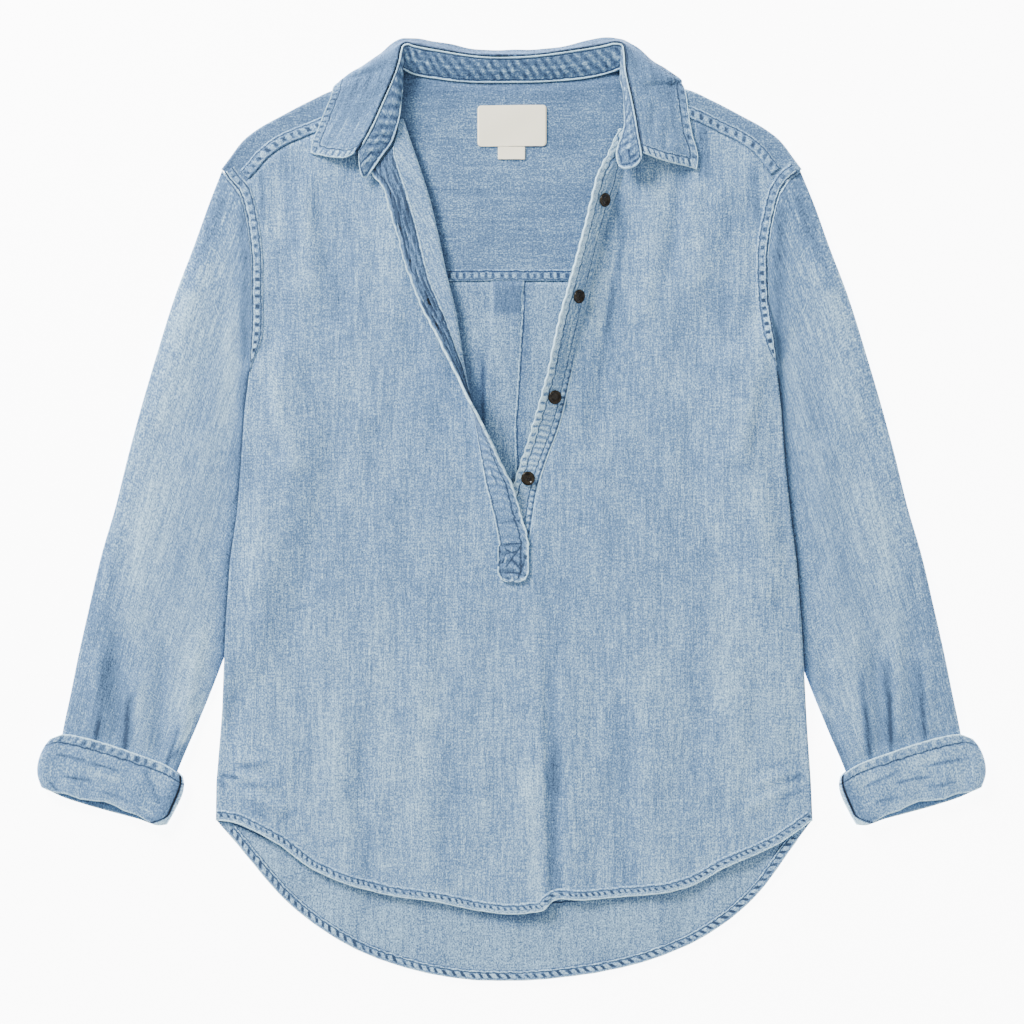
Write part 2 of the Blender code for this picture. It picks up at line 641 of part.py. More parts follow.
def make_front():
    """The front: left and right of the slit, and the whole width below it."""
    sheet = Sheet()
    across, up = even(FRONT_ACROSS), even(UPPER_ROWS)
    turn = left_turn(left_rows())
    sides = side_points(-1, upper_ys())
    seam = yoke_seam(-1)
    seam[-1] = turn[-1, 0, :2]
    low = spline([sides[0], turn[0, 0, :2]], across)
    plan = patch(low, spline(seam, across), sides, turn[:, 0, :2], across, up)
    left = np.concatenate([lifted(plan, front_height)[:, :-1], turn], axis=1)
    sheet.add(left)
    edge = [(x + 2 * SEAM_GAP, y) for x, y, *_ in RIGHT_EDGE[::-1]]
    edge[0] = (edge[0][0], SLIT_END_Y)
    start = spline([*edge, (95.3, 345.6)], up)
    sides = side_points(1, upper_ys())
    seam = yoke_seam(1)[::-1].copy()
    seam[0] = start[-1]
    low = spline([start[0], sides[0]], across)
    plan = patch(low, spline(seam, across), start, sides, across, up)
    right = lifted(plan, front_height)
    sheet.add(right)
    middle = np.linspace(left[0, -1], right[0, 0], 4)[1:-1]
    top = np.concatenate([left[0], middle, right[0]])
    across = (top[:, 0] - top[0, 0]) / (top[-1, 0] - top[0, 0])
    up = even(LOWER_ROWS)
    sides = side_points(-1, lower_ys()), side_points(1, lower_ys())
    plan = patch(spline(FRONT_HEM, across), top[:, :2], *sides, across, up)
    lower = lifted(plan, front_height)
    lower[-1] = top
    sheet.add(lower)
    wall("front", sheet, CLOTH, DENIM)


def make_placket_left():
    """The upper placket, with the closing box at its foot, on the rolled left edge."""
    rows = left_rows()
    turn = left_turn(rows)[: LEFT_STEPS + 1]
    rows = rows[: LEFT_STEPS + 1]
    lead = turn[:, -1] - turn[:, -2]
    lead /= np.linalg.norm(lead, axis=1)[:, None]
    start = turn[:, -1] + lead * 2 * SEAM_GAP
    start[:, 2] += ON_FRONT * smooth((20.0 - start[:, 1]) / 35.0)
    free = lifted(rows[:, 5:7], front_height)
    free[:, 2] += rows[:, 4]
    grid = start[:, None] + (free - start)[:, None] * even(4)[None, :, None]
    box = []
    for half, y in BOX_END[::-1]:
        xs = BOX_MIDDLE_X + half * np.linspace(-1, 1, 5)
        line = lifted(np.column_stack([xs, np.full(5, y)]), front_height)
        line[:, 2] += ON_FRONT
        box.append(line)
    sheet = Sheet()
    sheet.add(np.concatenate([box, grid]))
    wall("placket_left", sheet, PLACKET_WALL, DENIM_DARK)


def right_placket(rows):
    """The right placket's free edge and seam, for rows of RIGHT_EDGE."""
    seam = lifted(rows[:, 0:2], front_height)
    free = np.column_stack([rows[:, 2:4], seam[:, 2] + rows[:, 4]])
    seam[:, 2] += np.minimum(rows[:, 4], 0.0)
    return free, seam


def make_placket_right():
    free, seam = right_placket(spline(RIGHT_EDGE[::-1], even(RIGHT_STEPS)))
    sheet = Sheet()
    sheet.add(free[:, None] + (seam - free)[:, None] * even(3)[None, :, None])
    wall("placket_right", sheet, PLACKET_WALL, DENIM_DARK)


# ---------------------------------------------------------------- the collar


def through(points, parts):
    """Points along a smooth curve through a few, with so many parts in each span."""
    points = np.asarray(points, float)
    run = np.concatenate([[0.0], np.cumsum(np.linalg.norm(np.diff(points, axis=0), axis=1))])
    shares = [0.0]
    for low, high, count in zip(run, run[1:], parts):
        shares += [(low + (high - low) * (part + 1) / count) / run[-1] for part in range(count)]
    return spline(np.column_stack([run, np.zeros_like(run), points]), shares)[:, 2:]


def make_collar_stand():
    rows = [np.concatenate([row[3:6], row[0:3]]) for row in np.array(COLLAR)]
    rows = spline(rows, knotted(rows, COLLAR_STEP))
    seam, foot = rows[:, 0:3], rows[:, 3:6]
    sheet = Sheet()
    sheet.add(foot[None] + (seam - foot)[None] * even(3)[:, None, None])
    wall("collar_stand", sheet, STAND_WALL, DENIM_DARK)


def leaf_section(row, out):
    """The leaf across one row of COLLAR, from beside its seam to its outer edge."""
    _, seam, outline, outer = np.array(row[:12]).reshape(4, 3)
    away = outline[:2] - seam[:2]
    length = np.linalg.norm(away)
    away = away / length
    start = seam + (*(1.7 * out), 0.8)
    if not row[12]:
        points = [start, start + 0.8 * (outline - start), outline, (outline + outer) / 2, outer]
        return through(points, (3, 2, 2, 2))
    near = min(4.5, 0.35 * length)
    over = outline + (*(-near * away), 3.9)
    inward = outer[:2] - outline[:2]
    inward = inward / np.linalg.norm(inward)
    under = np.array([*(outline[:2] + 4.0 * inward), outer[2]])
    return through([start, over, outline, under, outer], (3, 2, 2, 2))


def make_collar_leaf():
    seams = np.array(COLLAR)[:, 3:5]
    run = np.gradient(seams, axis=0)
    out = np.stack([-run[:, 1], run[:, 0]], axis=1) / np.linalg.norm(run, axis=1)[:, None]
    sections = [leaf_section(row, away).ravel() for row, away in zip(COLLAR, out)]
    rows = np.concatenate([seams, sections], axis=1)
    rows = spline(rows, knotted(rows, COLLAR_STEP))[:, 2:]
    sheet = Sheet()
    sheet.add(rows.reshape(len(rows), -1, 3).transpose(1, 0, 2))
    wall("collar_leaf", sheet, LEAF_WALL, DENIM)


# ---------------------------------------------------------------- sleeves and cuffs


def ring_angles():
    return np.linspace(0.0, 2 * math.pi, 2 * RING_HALF, endpoint=False)


def ring_swell():
    """How far each point of a flattened ring stands off its middle, 0 at its two edges."""
    return np.minimum(1.0, np.abs(np.sin(ring_angles())) / 0.5) ** 0.6


def mirrored(rows, side):
    return np.array([(side * x, y) for x, y in rows])


def ring_tube(side, rings, plan_of, heights_of, thickness, inset):
    """The outside and inside rings of a flattened tube. plan_of gives x and y for shares across
    and shares along; heights_of gives the bottom and the top at a point."""
    angles = ring_angles()
    swell = ring_swell()
    results = []
    for wall_in, trim in ((0.0, 0.0), (thickness, inset)):
        across = trim + (1 - np.cos(angles)) / 2 * (1 - 2 * trim)
        plan = plan_of(across, even(rings))
        low, high = heights_of(plan[..., 0], plan[..., 1])
        middle = (low + high) / 2
        reach = (high - low) / 2 - wall_in
        upper = np.sin(angles) >= 0
        z = middle + np.where(upper, 1.0, -1.0) * reach * swell
        grid = np.concatenate([plan, z[..., None]], axis=-1)
        results.append(grid if side > 0 else grid[:, ::-1])
    return results


def make_sleeve(side, name):
    ys = (288.2, 281.4, 269.0, 255.0, 238.0, 216.0, 183.0, 155.0, 132.0, 116.8)
    armhole = side_points(side, ys) + (side * 0.9, 0.0)
    armhole = np.vstack([armhole, mirrored(SLEEVE_CORNER, side)])
    outer, inner = mirrored(SLEEVE_OUTER, side), mirrored(SLEEVE_INNER, side)
    outer[0], inner[0] = armhole[0], armhole[-1]

    def plan_of(across, along):
        low, high = spline(armhole, across), spline([outer[-1], inner[-1]], across)
        first, last = spline(outer, along), spline(inner, along)
        u, v = across[None, :, None], along[:, None, None]
        below = (1 - u) * armhole[0] + u * armhole[-1]
        above = (1 - u) * outer[-1] + u * inner[-1]
        sides = (1 - u) * first[:, None] + u * last[:, None]
        plan = (1 - v) * (low[None] - below) + v * (high[None] - above) + sides
        # Above the underarm it stays beside the body, ring after ring.
        y = plan[..., 1]
        ring = v[..., 0] * SLEEVE_RINGS
        least = half_width(y, side) + 0.9 + 3.6 * ring * smooth((y - 100.0) / 30.0)
        least = least - 0.9 * np.maximum(116.8 - y, 0.0)
        plan[..., 0] = side * np.maximum(np.abs(plan[..., 0]), least)
        return plan

    def heights_of(x, y):
        return sleeve_heights(x, y, side)

    rings = ring_tube(side, SLEEVE_RINGS, plan_of, heights_of, CLOTH, 0.011)
    tube("sleeve_" + name, *rings, DENIM)


def make_cuff(side, name):
    """The turned-up end of a sleeve: a thick flat band. Its front is a little shorter."""
    upper, lower = mirrored(CUFF_UPPER, side), mirrored(CUFF_LOWER, side)
    outer, inner = mirrored(CUFF_OUTER, side), mirrored(CUFF_INNER, side)
    front = (np.sin(ring_angles()) >= 0) * ring_swell()
    shift = np.array([-0.313 * side, 0.95]) * CUFF_FRONT_SHORTER

    def plan_of(across, along):
        low, high = spline(upper, across), spline(lower, across)
        first, last = spline(outer, along), spline(inner, along)
        u, v = across[None, :, None], along[:, None, None]
        below = (1 - u) * upper[0] + u * upper[-1]
        above = (1 - u) * lower[0] + u * lower[-1]
        sides = (1 - u) * first[:, None] + u * last[:, None]
        plan = (1 - v) * (low[None] - below) + v * (high[None] - above) + sides
        return plan + v**2 * front[None, :, None] * shift

    def heights_of(x, y):
        return np.zeros_like(x), np.full_like(x, CUFF_TOP)

    rings = ring_tube(side, CUFF_RINGS, plan_of, heights_of, CUFF_WALL, 0.021)
    tube("cuff_" + name, *rings, DENIM_EDGE)


# ---------------------------------------------------------------- buttons and labels


def make_button(number, y, share):
    table = np.array(RIGHT_EDGE[::-1])

    def place(at):
        row = np.array([[np.interp(at, table[:, 1], column) for column in table.T]])
        row[0, 1] = at
        free, seam = right_placket(row)
        return free[0], seam[0]

    free, seam = place(y)
    across = (seam - free) / np.linalg.norm(seam - free)
    centres = [low + (high - low) * share for low, high in (place(y - 5.0), place(y + 5.0))]
    along = centres[1] - centres[0]
    along = along - across * along.dot(across)
    along = along / np.linalg.norm(along)
    normal = np.cross(across, along)
    base = free + (seam - free) * share + normal * (PLACKET_WALL / 2 + BUTTON_GAP)
    points = [base]
    for radius, height in BUTTON_PROFILE:
        for step in range(BUTTON_SIDES):
            angle = 2 * math.pi * step / BUTTON_SIDES
            spoke = across * math.cos(angle) + along * math.sin(angle)
            points.append(base + spoke * radius * BUTTON_RADIUS + normal * height)
    points.append(base + normal * 1.7)
    faces = []
    last = 1 + (len(BUTTON_PROFILE) - 1) * BUTTON_SIDES
    for step in range(BUTTON_SIDES):
        after = (step + 1) % BUTTON_SIDES
        faces.append((0, 1 + after, 1 + step))
        faces.append((last + step, last + after, len(points) - 1))
        for low in range(1, last, BUTTON_SIDES):
            high = low + BUTTON_SIDES
            faces.append((low + step, low + after, high + after, high + step))
    make_object(f"button_{number}", points, faces, HORN, 0.3)


def make_label(name, box):
    left, right, low, high = box
    xs, ys = np.meshgrid(np.linspace(left, right, 5), np.linspace(low, high, 4))
    plan = np.stack([xs, ys], axis=-1)
    raised = CLOTH / 2 + 0.5 + LABEL_WALL / 2
    sheet = Sheet()
    sheet.add(lifted(plan, lambda x, y: back_height(x, y) + raised))
    wall(name, sheet, LABEL_WALL, CREAM)


def main():
    for old in list(bpy.data.objects):
        bpy.data.objects.remove(old)
    make_back()
    make_back_yoke()
    make_front()
    make_placket_left()
    make_placket_right()
    make_collar_stand()
    make_collar_leaf()
    for side, name in ((-1, "left"), (1, "right")):
        make_sleeve(side, name)
        make_cuff(side, name)
    for number, (y, share) in enumerate(BUTTON_PLACES, 1):
        make_button(number, y, share)
    make_label("label_main", MAIN_LABEL)
    make_label("label_size", SIZE_LABEL)


main()
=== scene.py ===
"""Looks of the light-wash denim popover shirt, laid flat and face up. Tables are in millimetres, as
in the solids' own source: x to the right, y towards the collar, z up from the surface."""

import math

import bpy
import numpy as np
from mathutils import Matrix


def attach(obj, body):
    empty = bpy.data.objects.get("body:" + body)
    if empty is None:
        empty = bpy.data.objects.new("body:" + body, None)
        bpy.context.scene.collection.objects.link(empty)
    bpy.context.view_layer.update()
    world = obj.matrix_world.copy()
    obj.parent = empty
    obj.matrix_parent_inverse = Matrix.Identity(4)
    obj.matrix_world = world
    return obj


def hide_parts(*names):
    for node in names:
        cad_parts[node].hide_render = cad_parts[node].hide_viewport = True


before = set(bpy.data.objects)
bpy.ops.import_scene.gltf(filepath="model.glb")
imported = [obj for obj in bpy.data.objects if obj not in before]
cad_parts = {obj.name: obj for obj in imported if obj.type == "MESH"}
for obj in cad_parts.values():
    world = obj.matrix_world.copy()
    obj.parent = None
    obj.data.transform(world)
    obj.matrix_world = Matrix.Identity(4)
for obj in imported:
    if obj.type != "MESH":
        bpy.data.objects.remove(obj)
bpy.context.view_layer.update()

MM = 0.001
SIDES = ((-1, "left"), (1, "right"))
# A distance that stands for "nowhere near", in mm, and the least length of a normal.
FAR = 99.0
TINY = 1e-9

# Walls: one layer of denim, and the folded and sewn layers of the trimmings.
CLOTH = 1.2
PLACKET_WALL = 2.0
STAND_WALL = 2.0
LEAF_WALL = 1.6
CUFF_WALL = 2.4
LABEL_WALL = 0.6
SEAM_GAP = 0.025

# Heights of the middle of each layer above the surface.
BACK_Z = CLOTH / 2
SLEEVE_UNDER_BODY = 4.0
SLEEVE_TOP = 6.2
BODY_OVER_SLEEVE = 4.6
BODY_OVER_COLLAR = 1.9
PANEL_STEP = CLOTH + 0.4
PANEL_GAP = 2.6
NECK_RISE = 0.4
ON_FRONT = CLOTH / 2 + 0.3 + PLACKET_WALL / 2
CUFF_TOP = 8.6

# The middle of the whole shirt in the tables' own frame.
CENTRE_X = 0.0
CENTRE_Y = -0.16

# Half widths of the body: y, left, right.
SIDE_SEAM = (
    (-264.9, 251.8, 256.3), (-232.9, 251.4, 255.0), (-169.2, 246.1, 250.5), (-94.2, 242.7, 246.0),
    (-44.2, 239.1, 242.0), (0.0, 232.7, 236.5), (44.2, 229.4, 232.0), (85.9, 226.6, 229.0),
    (117.0, 222.4, 225.3),
)
ARMHOLE = (
    (117.0, 222.4, 225.3), (132.0, 221.6, 224.6), (155.0, 220.6, 221.3), (183.0, 220.6, 218.3),
    (216.0, 221.1, 217.7), (238.0, 223.3, 220.2), (255.0, 226.5, 223.8), (269.0, 230.8, 227.8),
    (281.4, 240.5, 236.4), (288.6, 246.6, 246.1),
)
# The shoulder's fold from the tip to the neck: half width, y.
SHOULDER = (
    (246.4, 288.6), (240.5, 296.7), (226.5, 314.7), (215.5, 323.0), (195.9, 334.0), (171.3, 346.8),
    (151.0, 355.6), (138.0, 358.5), (118.0, 364.0), (95.0, 372.6),
)
# The seam of the yoke on the front: half width, y on the left, y on the right.
FRONT_YOKE_SEAM = (
    (231.5, 271.0, 271.0), (219.0, 285.5, 287.0), (205.0, 301.0, 303.5), (192.0, 309.8, 312.5),
    (177.0, 316.0, 320.0), (159.0, 323.0, 328.5), (128.0, 331.5, 339.0), (95.0, 332.2, 346.0),
)
BACK_YOKE_Y = 194.0
# The back's neckline, left to right: x, y.
NECKLINE = (
    (-95.0, 372.6), (-81.0, 367.5), (-60.0, 364.8), (-25.0, 362.0), (17.0, 362.5), (52.0, 364.5),
    (80.0, 369.5), (95.0, 372.6),
)
FRONT_HEM = (
    (-251.8, -264.9), (-240.5, -266.0), (-201.6, -282.9), (-168.3, -306.5), (-115.6, -325.9),
    (-60.0, -334.6), (-26.8, -341.8), (-3.0, -344.3), (14.9, -343.1), (28.8, -339.6), (30.6, -337.4),
    (33.2, -334.7), (63.3, -332.4), (93.1, -329.8), (133.9, -325.6), (155.0, -319.4), (180.8, -305.2),
    (222.4, -287.0), (256.3, -264.9),
)
BACK_HEM = (
    (-251.8, -264.9), (-224.0, -296.7), (-185.0, -339.7), (-140.7, -370.3), (-88.0, -391.0),
    (-32.3, -400.9), (0.4, -401.4), (56.0, -397.2), (111.4, -385.6), (167.0, -362.0), (205.8, -331.5),
    (236.4, -291.2), (256.3, -264.9),
)
# The sleeve lies under the body from the underarm to y = -126: half width, y. First its hidden
# corner, going on from the armhole, then its outer edge from the shoulder and its inner edge.
SLEEVE_CORNER = ((206.0, 93.0), (195.0, 66.0))
SLEEVE_OUTER = (
    (246.8, 288.2), (257.1, 260.6), (271.0, 221.9), (284.9, 185.6), (301.6, 132.9), (315.4, 85.9),
    (326.6, 44.2), (337.6, 0.0), (348.9, -38.6), (360.0, -85.9), (368.1, -121.9), (376.5, -163.5),
    (382.0, -190.5), (386.5, -222.0),
)
SLEEVE_INNER = (
    (195.0, 66.0), (196.5, 35.0), (202.0, 5.0), (222.3, -60.0), (244.6, -126.1), (254.6, -152.4),
    (268.2, -185.7), (283.5, -221.9), (294.0, -250.0),
)
# The edges of the turned-up cuff: half width, y.
CUFF_UPPER = (
    (392.5, -195.5), (381.0, -191.6), (365.0, -193.6), (344.7, -199.2), (326.3, -205.2), (307.9, -211.7),
    (290.0, -219.5), (279.5, -227.5),
)
CUFF_LOWER = (
    (400.0, -236.5), (383.4, -244.8), (363.2, -251.6), (339.2, -258.4), (318.0, -264.0), (300.0, -269.3),
    (293.0, -268.5),
)
CUFF_OUTER = ((392.5, -195.5), (397.5, -202.0), (403.3, -226.0), (400.0, -236.5))
CUFF_INNER = ((279.5, -227.5), (278.5, -233.0), (287.0, -258.0), (293.0, -268.5))

# The left front edge, top to bottom. It rolls back on itself at the neck and unrolls downwards:
# x and y of its outermost line, how far it then reaches back, how far it turns in degrees, the
# height there of the placket's free edge over the front, and that edge's x and y.
LEFT_EDGE = (
    # x, y, reach, turn, rise, free x, free y
    (-92.4, 331.0, 3.0, 175.0, 4.2, -124.0, 293.5),
    (-89.0, 321.0, 8.5, 178.0, 4.2, -121.6, 289.6),
    (-86.0, 312.0, 15.0, 180.0, 4.2, -118.8, 285.8),
    (-82.8, 303.0, 17.0, 180.0, 4.2, -114.8, 280.2),
    (-78.0, 289.0, 17.2, 180.0, 4.2, -109.8, 274.6),
    (-71.2, 267.8, 17.0, 180.0, 4.2, -104.6, 258.5),
    (-62.8, 233.8, 16.5, 180.0, 4.2, -96.0, 226.5),
    (-55.7, 200.0, 15.5, 180.0, 7.0, -85.0, 193.2),
    (-47.6, 166.9, 10.5, 178.0, 11.0, -71.2, 161.8),
    (-42.8, 136.0, 5.5, 165.0, 16.0, -56.5, 133.0),
    (-38.3, 110.5, 2.5, 130.0, 20.0, -44.5, 109.3),
    (-34.5, 92.0, 2.0, 95.0, 22.0, -36.5, 92.9),
    (-31.0, 76.0, 2.0, 70.0, 21.0, -27.5, 76.5),
    (-28.5, 60.0, 2.0, 45.0, 18.5, -19.3, 60.0),
    (-26.0, 43.0, 2.0, 25.0, 13.5, -11.0, 43.0),
    (-22.5, 21.0, 2.0, 10.0, 7.5, 0.0, 21.4),
    (-18.0, 3.0, 2.0, 4.0, 3.4, 5.8, 2.0),
    (-13.6, -16.5, 2.0, 0.0, 2.2, 11.0, -16.0),
    (-11.0, -30.6, 2.0, 0.0, 1.9, 14.2, -30.6),
)
ROLL_LENGTH = 6.3
# The box that closes the left placket, below the slit: half width, y.
BOX_END = ((13.2, -44.0), (13.4, -54.0), (10.5, -60.0), (5.0, -62.2))
BOX_MIDDLE_X = 1.4

# The right front edge, top to bottom: x and y of the seam line, x and y of the placket's free
# edge, and the height of that edge over the seam.
RIGHT_EDGE = (
    # x, y, free x, free y, rise
    (95.5, 323.0, 92.0, 323.0, 1.0),
    (97.0, 305.0, 84.6, 307.0, 4.0),
    (95.5, 291.0, 76.8, 292.0, 9.0),
    (92.0, 277.0, 70.6, 278.0, 14.0),
    (86.0, 262.0, 67.4, 262.0, 16.5),
    (79.5, 240.0, 62.2, 240.0, 17.0),
    (69.5, 200.0, 51.2, 200.0, 16.5),
    (59.0, 154.0, 38.9, 154.4, 14.5),
    (49.5, 110.0, 29.0, 110.0, 10.0),
    (40.0, 69.1, 17.3, 69.1, 4.6),
    (30.3, 43.1, 8.4, 42.0, 1.6),
    (24.9, 26.9, 3.2, 26.0, 0.0),
    (20.6, 8.5, -2.0, 8.0, -1.2),
    (18.3, -6.8, -3.6, -7.0, -1.4),
    (14.9, -30.2, -3.0, -30.2, -1.4),
)
SLIT_END_Y = -30.6
# Where the right front edge meets the neck.
NECK_CORNER = (95.3, 345.6)
HEM_Y = SIDE_SEAM[0][0]
YOKE_SEAM_Y = 271.0
SHOULDER_Y = 281.4

# The collar, from the left front end round the back to the right front end: the stand's foot on
# the neck, the seam of stand and leaf, where the leaf passes the outline, and the leaf's outer
# edge, as x, y, z each. "under" is 1 where the leaf folds round the outline and lies below.
COLLAR = (
    # foot x, y, z, seam x, y, z, outline x, y, z, outer x, y, z, under
    (-121.0, 285.8, 10.4, -130.2, 294.4, 13.6, -166.5, 300.2, 7.4, -169.6, 300.4, 7.2, 0),
    (-110.8, 298.6, 10.4, -125.6, 309.0, 14.6, -166.4, 310.6, 7.6, -169.6, 310.8, 7.5, 0),
    (-102.4, 310.4, 10.2, -117.8, 323.0, 15.2, -162.0, 322.0, 8.0, -165.0, 321.5, 7.9, 0),
    (-97.4, 322.8, 13.2, -109.5, 341.2, 15.8, -156.0, 338.5, 8.6, -158.5, 338.0, 8.5, 0),
    (-94.4, 337.6, 12.4, -101.0, 360.8, 16.0, -150.4, 352.5, 9.0, -152.8, 351.8, 9.0, 0),
    (-94.0, 347.0, 10.8, -97.2, 370.5, 16.0, -148.6, 358.8, 8.6, -151.0, 358.8, 8.0, 0),
    (-93.6, 351.5, 9.2, -95.9, 374.7, 16.0, -145.4, 363.4, 5.8, -147.0, 361.4, 0.9, 0),
    (-93.0, 356.0, 9.0, -94.6, 378.8, 16.0, -141.5, 366.4, 5.0, -139.8, 357.0, 0.8, 1),
    (-93.0, 366.0, 8.2, -93.0, 387.5, 15.4, -128.0, 375.0, 5.0, -121.0, 351.5, 0.8, 1),
    (-93.0, 374.8, 6.0, -91.4, 392.0, 14.6, -112.1, 385.8, 4.8, -102.0, 350.0, 0.8, 1),
    (-90.4, 373.4, 4.8, -88.4, 393.2, 14.3, -102.0, 394.4, 4.8, -93.0, 350.0, 0.8, 1),
    (-86.5, 371.4, 3.6, -84.0, 392.0, 13.6, -91.0, 400.0, 4.8, -84.0, 350.0, 0.8, 1),
    (-60.0, 366.0, 3.0, -60.0, 387.6, 12.4, -67.0, 397.3, 4.8, -63.0, 352.0, 0.8, 1),
    (-25.0, 363.2, 3.0, -25.0, 382.7, 12.0, -25.0, 389.9, 4.8, -25.0, 353.5, 0.8, 1),
    (8.0, 363.3, 3.0, 8.0, 382.6, 12.0, 8.0, 389.6, 4.8, 8.0, 353.5, 0.8, 1),
    (52.3, 365.6, 3.0, 52.3, 387.6, 12.4, 50.0, 394.0, 4.8, 50.0, 352.0, 0.8, 1),
    (80.0, 370.4, 3.6, 79.0, 391.9, 13.4, 82.0, 400.4, 4.8, 78.0, 350.0, 0.8, 1),
    (88.6, 373.0, 4.8, 87.6, 393.6, 14.2, 93.5, 399.4, 4.8, 88.0, 350.0, 0.8, 1),
    (93.0, 374.8, 6.0, 93.0, 392.6, 14.6, 104.0, 393.6, 4.8, 98.0, 350.0, 0.8, 1),
    (93.0, 365.0, 8.2, 95.0, 384.0, 15.4, 118.0, 382.0, 4.8, 110.0, 350.5, 0.8, 1),
    (93.0, 355.0, 9.0, 95.8, 372.0, 16.0, 134.2, 371.6, 5.0, 126.0, 352.5, 0.8, 1),
    (93.8, 347.0, 9.4, 98.0, 361.0, 16.4, 144.4, 363.6, 5.2, 142.0, 355.5, 0.8, 1),
    (93.6, 343.4, 9.6, 99.2, 355.4, 16.5, 147.2, 361.2, 5.8, 148.4, 360.2, 0.9, 0),
    (93.8, 339.0, 9.8, 100.6, 349.6, 16.6, 149.4, 357.4, 8.7, 152.0, 358.0, 8.2, 0),
    (94.0, 328.0, 10.6, 104.3, 331.0, 17.0, 148.6, 337.0, 9.0, 151.6, 336.8, 8.9, 0),
    (91.6, 314.0, 12.2, 107.0, 314.5, 17.6, 151.6, 318.4, 8.6, 154.6, 318.2, 8.5, 0),
    (89.0, 301.0, 14.0, 108.8, 305.0, 18.2, 155.2, 300.0, 7.8, 158.0, 299.4, 7.7, 0),
    (89.6, 292.4, 15.0, 109.8, 299.0, 18.4, 153.4, 290.0, 7.4, 156.6, 289.0, 7.3, 0),
)

# Folds in the front: the ends of each, its half width and its height; below zero is a trough.
FRONT_FOLDS = (
    # x, y, x, y, half width, height
    (29, -60, 31, -400, 9, -1.6), (14, -90, 10, -400, 16, 1.2), (48, -110, 52, -400, 16, 1),
    (-185, 300, -150, 170, 14, 1), (190, 300, 150, 160, 14, 1), (-205, 150, -120, 60, 18, 1),
    (205, 150, 120, 60, 18, 1), (86, 220, 48, 60, 16, 1),
)
# Where the body lies on the sleeve: y, half width of the sleeve's hidden edge.
HIDDEN_SLEEVE = (
    (-200, 296), (-160, 266), (-126, 243), (-60, 219), (5, 198), (35, 192), (66, 192), (93, 200),
    (117, 210), (132, 216), (150, 236), (185, 275),
)

# The box pleat in the back, below the yoke: its folded edges at the yoke and where it dies out.
PLEAT_TOP = (-18.0, 11.5)
PLEAT_FOOT = (-27.0, 4.5)
PLEAT_FOOT_Y = 50.0
PLEAT_RISE = 1.3

# Buttons on the right placket, top to bottom: y, share of the placket's width from its free edge.
BUTTON_PLACES = ((262.0, 0.55), (180.0, 0.52), (95.0, 0.53), (26.6, 0.50))
BUTTON_RADIUS = 6.0
BUTTON_GAP = 0.5
# Its four holes: how far from its middle, their radius, and their height over its foot.
HOLE_PLACE = 1.45
HOLE_RADIUS = 0.62
HOLE_LIFT = 1.36

# Labels on the inside of the yoke: left x, right x, lower y, upper y.
MAIN_LABEL = (-28.9, 29.8, 308.8, 343.4)
SIZE_LABEL = (-11.5, 11.5, 297.6, 308.3)

# How finely the pieces are divided.
BACK_STEPS = 120
LOWER_ROWS = 92
UPPER_ROWS = 122
LEFT_STEPS = 120
FRONT_ACROSS = 88
SHOULDER_STEPS = 70
NECK_STEPS = 60
FOLD_STEPS = 10
LEFT_PLACKET_ROWS = 300
RIGHT_PLACKET_ROWS = 320
PLACKET_STEPS = 56
STAND_STEPS = 38
LEAF_PARTS = (50, 11, 5, 7)
SLEEVE_RINGS = 170
CUFF_RINGS = 44
BUTTON_SIDES = 56
HOLE_SIDES = 14
CORD_SIDES = 8

# Sewn edges: the strips' thickness and the height of their puckers, the piping's radius, and the
# length of a buttonhole.
STRIP_WALL = 0.7
STRIP_DEPTH = 0.35
PIPING_RADIUS = 0.66
BUTTONHOLE = 14.0
# The way up a sleeve beside its cuff, towards the body and towards the collar, and where the
# cuff's edge starts: half width, y.
UP_SLEEVE = (0.313, 0.95)
CUFF_CORNER = (382.5, -190.9)
# The flat cuff, across and down, and the sleeve's weave, across and along, in mm.
CUFF_WIDTH = 115.0
CUFF_DEPTH = 42.0
SLEEVE_GRAIN = (150.0, 450.0)
# Half the side of the floor, in metres.
FLOOR = 12


# ---------------------------------------------------------------- curves and sheets


def smooth(share):
    """0 below 0, 1 above 1, and a soft step between."""
    share = np.clip(share, 0.0, 1.0)
    return share * share * (3.0 - 2.0 * share)


def spline(rows, shares):
    """Points at the given shares of the length of a smooth curve through the rows."""
    rows = np.asarray(rows, float)
    steps = np.linalg.norm(np.diff(rows[:, :2], axis=0), axis=1)
    knots = np.concatenate([[0.0], np.cumsum(steps)])
    slopes = np.diff(rows, axis=0) / steps[:, None]
    middle = (slopes[:-1] * steps[1:, None] + slopes[1:] * steps[:-1, None]) / (
        steps[1:] + steps[:-1]
    )[:, None]
    tangents = np.vstack([slopes[:1], middle, slopes[-1:]])
    if rows.shape[1] > 2 and len(slopes) > 1:
        # Heights and other columns never pass beyond their rows.
        low, high = slopes[:-1, 2:], slopes[1:, 2:]
        limit = np.where(low * high > 0, 2 * np.minimum(np.abs(low), np.abs(high)), 0.0)
        tangents[1:-1, 2:] = np.clip(tangents[1:-1, 2:], -limit, limit)
    at = np.asarray(shares, float) * knots[-1]
    span = np.clip(np.searchsorted(knots, at, side="right") - 1, 0, len(steps) - 1)
    size = steps[span]
    t = ((at - knots[span]) / size)[:, None]
    size = size[:, None]
    return (
        (2 * t**3 - 3 * t**2 + 1) * rows[span]
        + (t**3 - 2 * t**2 + t) * size * tangents[span]
        + (3 * t**2 - 2 * t**3) * rows[span + 1]
        + (t**3 - t**2) * size * tangents[span + 1]
    )


